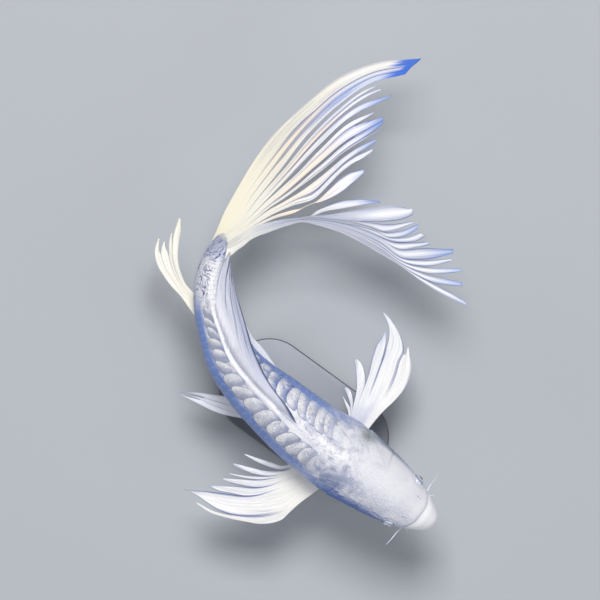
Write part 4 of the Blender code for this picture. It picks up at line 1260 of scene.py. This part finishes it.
# Anal fin: cream, narrow and swept out to the right of the tail.
ANAL = dict(
    guides=[
        (0, -18, -28, [(-128, 22), (-157, 28), (-179, 35), (-194, 38), (-206, 42), (-217, 47),
            (-227, 56), (-233, 71)]),
        (0.22, -18, -29, [(-132, 26), (-160, 32), (-179, 38), (-196, 44), (-210, 50), (-223, 61),
            (-229, 74)]),
        (0.44, -18, -28, [(-135, 30), (-163, 36), (-184, 44), (-199, 51), (-212, 61), (-221, 72),
            (-227, 86)]),
        (0.7, -17, -27, [(-139, 35), (-167, 41), (-184, 47), (-197, 54), (-210, 65), (-220, 80),
            (-228, 101)]),
        (1, -16, -26, [(-144, 41), (-171, 46), (-181, 48), (-190, 53), (-203, 64), (-211, 76),
            (-218, 90), (-222, 100)]),
    ],
    slits=[(0.22, 0.85, 1, 3, 0.6), (0.44, 0.75, 1, 3, 0.6), (0.6, 0.72, 1, 2.2, 0.6)],
    fingers=[(0.99, 0.3, 0.8, 0), (0.94, 0.3, 0.8, 0), (0.94, 0.3, 0.8, 0), (0.99, 0.45, 0.9, 0.3)],
)
anal_paint = fin_finish("anal web", 12, cream=0.95, blue_from=0.99, blue=0.2, tint=0.2, web=0.04,
                        base=(253, 251, 232), root=(253, 250, 234), thread=0.2, edges=0.5, seams=0.3)
fin("anal_web", "anal_fin", **ANAL, steps=90, root_thick=3.6, ray_count=12, paint=anal_paint, ripple=0.8)

# Dorsal fin: folded down over the left of the back. Its guides are (distance, sideways).
DORSAL = dict(
    guides=[
        (0, -2, 2.6, [(170, -1), (190, 5.6), (218, 9.3), (236, 13.1), (254, 18.2), (270, 21.3),
            (290, 23.9), (307, 24.7), (326, 25.3), (350, 23.3), (372, 17.4)]),
        (0.35, -2, 3.0, [(213, -1), (245, 5), (280, 12), (315, 17), (350, 18.0), (382, 13.0)]),
        (0.7, -2, 3.2, [(262, -1), (285, 6), (315, 9), (345, 11), (375, 10.5), (392, 8.0)]),
        (1.0, -2, 3.0, [(314, -2), (330, 0), (345, 1.5), (362, 2.5), (380, 3), (394, 3)]),
    ],
    slits=[(0.2, 0.86, 1, 1.6, 0.6), (0.42, 0.84, 1, 1.6, 0.6), (0.7, 0.82, 1, 1.4, 0.6)],
    fingers=[(0.97, 0.3, 0.8, 0.5), (1, 0.3, 0.8, 0.5), (0.96, 0.3, 0.8, 0.5), (1, 0.4, 0.8, 0.5)],
)
# The dark line along its free edge is painted shadow.
dorsal_paint = fin_finish("dorsal web", 20, cream=0.10, blue_from=0.95, blue=0.3, base=(230, 230, 237),
                          root=(136, 140, 158), front=(196, 201, 224), web=0.28, thread=0.85, outline=0.95)
fin("dorsal_web", "dorsal_fin", **DORSAL, steps=130, root_thick=2.2, ray_count=20, paint=dorsal_paint,
    lie=over_back, settle=10, ripple=0)

# Tail fin: two long lobes. It turns from upright at the tail to nearly flat.
LOWER_LOBE = dict(
    guides=[
        (0, -15, 5, [(-184, 96), (-187, 110), (-192, 130), (-196, 160), (-199, 195), (-198, 234),
            (-189, 277), (-176, 319), (-155, 350), (-121, 380)]),
        (0.4, -11, 4, [(-181, 97), (-178, 115), (-174, 134), (-173, 164), (-170, 206), (-168, 247),
            (-161, 288), (-147, 328), (-125, 355)]),
        (0.53, -9, 3, [(-179, 98), (-175, 115), (-170, 133), (-165, 164), (-158, 204), (-152, 245),
            (-143, 286), (-138, 296), (-132, 306), (-123, 322)]),
        (0.66, -8, 2, [(-178, 98), (-173, 115), (-166, 132), (-157, 162), (-149, 181), (-136, 220),
            (-125, 260), (-109, 297)]),
        (0.78, -6, 1, [(-177, 98), (-171, 114), (-163, 131), (-150, 159), (-138, 177), (-126, 191),
            (-120, 219), (-118, 233), (-114, 245), (-108, 254), (-101, 265)]),
        (0.88, -4, 0, [(-176, 98), (-169, 113), (-161, 130), (-145, 157), (-130, 173), (-127, 180),
            (-116, 195), (-109, 206), (-100, 217), (-89, 228), (-77, 236)]),
        (1, -2, -1, [(-175, 98), (-167, 112), (-158, 129), (-146, 146), (-126, 170), (-114, 186),
            (-111, 191), (-98, 205), (-83, 220), (-66, 235)]),
    ],
    slits=[
        (0.2, 0.42, 0.6, 2.0, 0.3), (0.29, 0.32, 0.68, 2.8, 0.3), (0.4, 0.27, 1, 4.2, 0.3),
        (0.445, 0.8, 1, 1.4, 0.6), (0.475, 0.42, 1, 2.6, 0.4), (0.53, 0.27, 1, 4.8, 0.3),
        (0.567, 0.84, 1, 3.2, 0.6), (0.61, 0.34, 0.84, 2.6, 0.3), (0.64, 0.88, 1, 1.2, 0.6),
        (0.66, 0.27, 1, 5.0, 0.3), (0.72, 0.6, 1, 2.2, 0.6), (0.78, 0.27, 1, 6.0, 0.4),
        (0.88, 0.27, 1, 5.4, 0.4),
    ],
    fingers=[
        (1, 1, 0.9, 0.05), (1, 1, 0.9, 0), (1, 0.9, 0.9, 0.7), (0.9, 0.3, 0.85, 0.35),
        (0.93, 0.3, 0.85, 0.1), (1, 0.2, 0.75, 0.5), (0.94, 0.35, 0.88, 0.55), (0.99, 0.5, 0.88, 1),
        (0.99, 0.5, 0.88, 0), (0.99, 0.35, 0.88, 0), (0.97, 0.35, 0.85, 0.45), (0.98, 0.35, 0.85, 0.1),
        (0.96, 0.12, 0.74, 0.15), (1, 0.3, 0.8, 0.75),
    ],
)
UPPER_LOBE = dict(
    guides=[
        (0, 4, 4, [(-174, 99), (-170, 110), (-163, 129), (-148, 151.5), (-124, 176), (-103, 194),
            (-90, 207), (-76, 221), (-55.5, 240), (-33, 251)]),
        (0.2, 6, 3, [(-173, 99), (-168.5, 110), (-161.5, 128), (-147.5, 150.5), (-123.5, 175),
            (-91, 196), (-68, 210), (-45, 226), (-33, 238), (-20.5, 253.5)]),
        (0.32, 8, 2, [(-172, 100), (-167, 109), (-160, 127.5), (-146.5, 149), (-123.5, 174), (-82, 200),
            (-62, 208), (-47, 212.5), (-33.5, 225.5), (-23.5, 245)]),
        (0.44, 10, 0, [(-171, 100), (-166, 109), (-159, 127), (-146, 148), (-123.5, 173.5), (-80, 198),
            (-55, 208), (-39.5, 211), (-26.5, 221), (-16.5, 237)]),
        (0.6, 11, -3, [(-170, 100), (-165, 108), (-157.5, 126), (-145, 146.5), (-123, 172.5), (-79, 197),
            (-47, 205), (-24, 207), (-7, 221), (19.5, 241)]),
        (0.74, 13, -4, [(-169, 100), (-164, 107), (-156.5, 125.5), (-144, 145.5), (-123, 171.5),
            (-77, 194), (-44, 201), (-15, 202), (0, 211), (26, 233.5)]),
        (0.88, 14, -5, [(-166, 97), (-161, 107), (-155.5, 125), (-143.5, 144.5), (-123, 170.5),
            (-75, 191), (-40, 196), (-9, 197), (8, 201), (49.5, 224)]),
        (1, 16, -6, [(-164, 90), (-160.5, 100), (-158.5, 108), (-156, 115), (-154, 124), (-142.5, 143),
            (-130, 161), (-123, 169.5), (-104, 178.5), (-83.5, 185.5), (-61, 189.5), (-37, 192),
            (-13, 194), (13, 194), (37, 195.5), (68, 200)]),
    ],
    slits=[
        (0.2, 0.68, 1, 3.4, 0.5), (0.32, 0.81, 1, 2.6, 0.5), (0.44, 0.83, 1, 1.6, 0.6),
        (0.52, 0.8, 1, 1.4, 0.6), (0.6, 0.78, 1, 2.4, 0.6), (0.74, 0.8, 1, 1.2, 0.6),
        (0.81, 0.79, 1, 1.6, 0.6), (0.88, 0.78, 1, 5, 0.9), (0.95, 0.84, 1, 2.6, 0.6),
    ],
    fingers=[
        (0.98, 0.4, 0.88, 0.25), (1, 0.3, 0.85, 0), (0.99, 0.45, 0.88, 0.5), (0.98, 0.45, 0.88, 0.2),
        (0.94, 0.45, 0.88, 0), (1, 0.5, 0.9, 0.4), (0.99, 0.3, 0.85, 0.2), (1, 0.3, 0.85, 0.35),
        (0.98, 0.3, 0.85, 0.4), (1, 0.25, 0.85, 0.85),
    ],
)
lower_paint = fin_finish("lower tail web", 34, cream=0.62, blue_from=0.84, blue=0.85, tint=0.8, thread=0.75,
                         far=(0.90, 0.0, 0.42), front=(250, 241, 208), bright=0.5,
                         tip=(84, 128, 206))
upper_paint = fin_finish("upper tail web", 26, cream=0.22, blue_from=0.86, blue=0.7, base=(200, 204, 214),
                         web=0.42, thread=0.95, bright=0.85, tint=0.3, tip=(92, 136, 210))
fin("tail_web_lower", "tail_fin_lower_lobe", **LOWER_LOBE, steps=150, root_thick=3.4, ray_count=34,
    paint=lower_paint)
fin("tail_web_upper", "tail_fin_upper_lobe", **UPPER_LOBE, steps=150, root_thick=3.4, ray_count=26,
    paint=upper_paint)

# ---------------------------------------------------------------- stand
# A plain museum stand: a flat base with rounded ends and two turned rods whose flared tops are
# fitted to the belly, all in satin grey metal.

BASE_SIZE = (190.0, 104.0)
BASE_THICK = 12.0
BASE_CORNER = 44.0
BASE_ROUNDING = 1.6
CORNER_STEPS = 26
BELLY_REACH = 16.0  # how far along the belly a rod's top can touch it
ROD_TURNS = 64
ROD_PLACES = {"front": 118.0, "rear": 252.0}  # distance from the snout at which a rod holds the belly
ROD_PROFILE = [  # radius and height, from the collar on the base to the flared top
    (8.7, 12.0), (9.0, 12.4), (9.0, 16.7), (8.7, 17.7), (7.9, 18.3), (5.2, 18.4), (4.3, 19.2), (4.0, 21.0),
    (4.0, 75.5), (4.3, 77.6), (5.1, 81.5), (6.5, 86.0), (7.5, 89.2), (8.0, 92.5),
]
ROD_TOP = (8.0, 7.0, 4.0)  # radii of the rings that follow the belly


def rings_mesh(name, rings, node):
    """A closed piece from rings of points one over another, in the stand's own frame."""
    faces = stack_faces(len(rings), len(rings[0]))
    shape = piece(name, np.concatenate(rings) - HANG, faces, "stand_metal", (node,))
    shape.data.materials.append(stand_paint)


def base_outline(inset, height):
    ring = []
    radius = BASE_CORNER - inset
    for corner in range(4):
        middle_x = (BASE_SIZE[0] / 2 - BASE_CORNER) * (1 if corner in (0, 3) else -1)
        middle_y = (BASE_SIZE[1] / 2 - BASE_CORNER) * (1 if corner in (0, 1) else -1)
        for turn in np.radians(90 * corner + np.linspace(0, 90, CORNER_STEPS)):
            ring.append((middle_x + radius * math.cos(turn), middle_y + radius * math.sin(turn), height))
    return np.array(ring)


def belly_height(spots, distance):
    """How high the belly lies over each spot near a distance from the snout."""
    near = np.linspace(distance - BELLY_REACH, distance + BELLY_REACH, 65)
    along, around = np.meshgrid(near, np.radians(np.arange(200, 341)))
    belly = (skin_point(along, around) + HANG).reshape(-1, 3)
    off = np.linalg.norm(belly[None, :, :2] - spots[:, None, :2], axis=-1)
    return belly[off.argmin(axis=1), 2]


def stand_finish():
    paint = Paint("satin stand metal", (108, 112, 120), metallic=0.85)
    where = paint.place()
    grain = paint.noise(where, 900, 2.0)
    cloud = paint.noise(where, 24, 3.0)
    paint.over(cloud, 122, 126, 134)
    return paint.finish(0.40 + cloud * 0.1 + grain * 0.06, grain, 0.1, 0.0002)


stand_paint = stand_finish()
base_rings = [base_outline(0.5, 0.0), base_outline(0.0, 0.5)]
for edge_turn in np.radians(np.linspace(0, 90, 6)):
    rise = BASE_ROUNDING * (math.sin(edge_turn) - 1)
    base_rings.append(base_outline(BASE_ROUNDING * (1 - math.cos(edge_turn)), BASE_THICK + rise))
rings_mesh("stand_plate", base_rings, "stand_base")
turns = even_turns(ROD_TURNS)
circle = np.stack([np.cos(turns), np.sin(turns), np.zeros(ROD_TURNS)], axis=-1)
for rod_name, rod_distance in ROD_PLACES.items():
    centre = (spine_frame(rod_distance)[0] + HANG) * (1, 1, 0)
    rod_rings = [centre + circle * radius + (0, 0, height) for radius, height in ROD_PROFILE]
    for radius in ROD_TOP:
        top_ring = centre + circle * radius
        top_ring[:, 2] = belly_height(top_ring, rod_distance)
        rod_rings.append(top_ring)
    rings_mesh("stand_turned_" + rod_name, rod_rings, "stand_rod_" + rod_name)
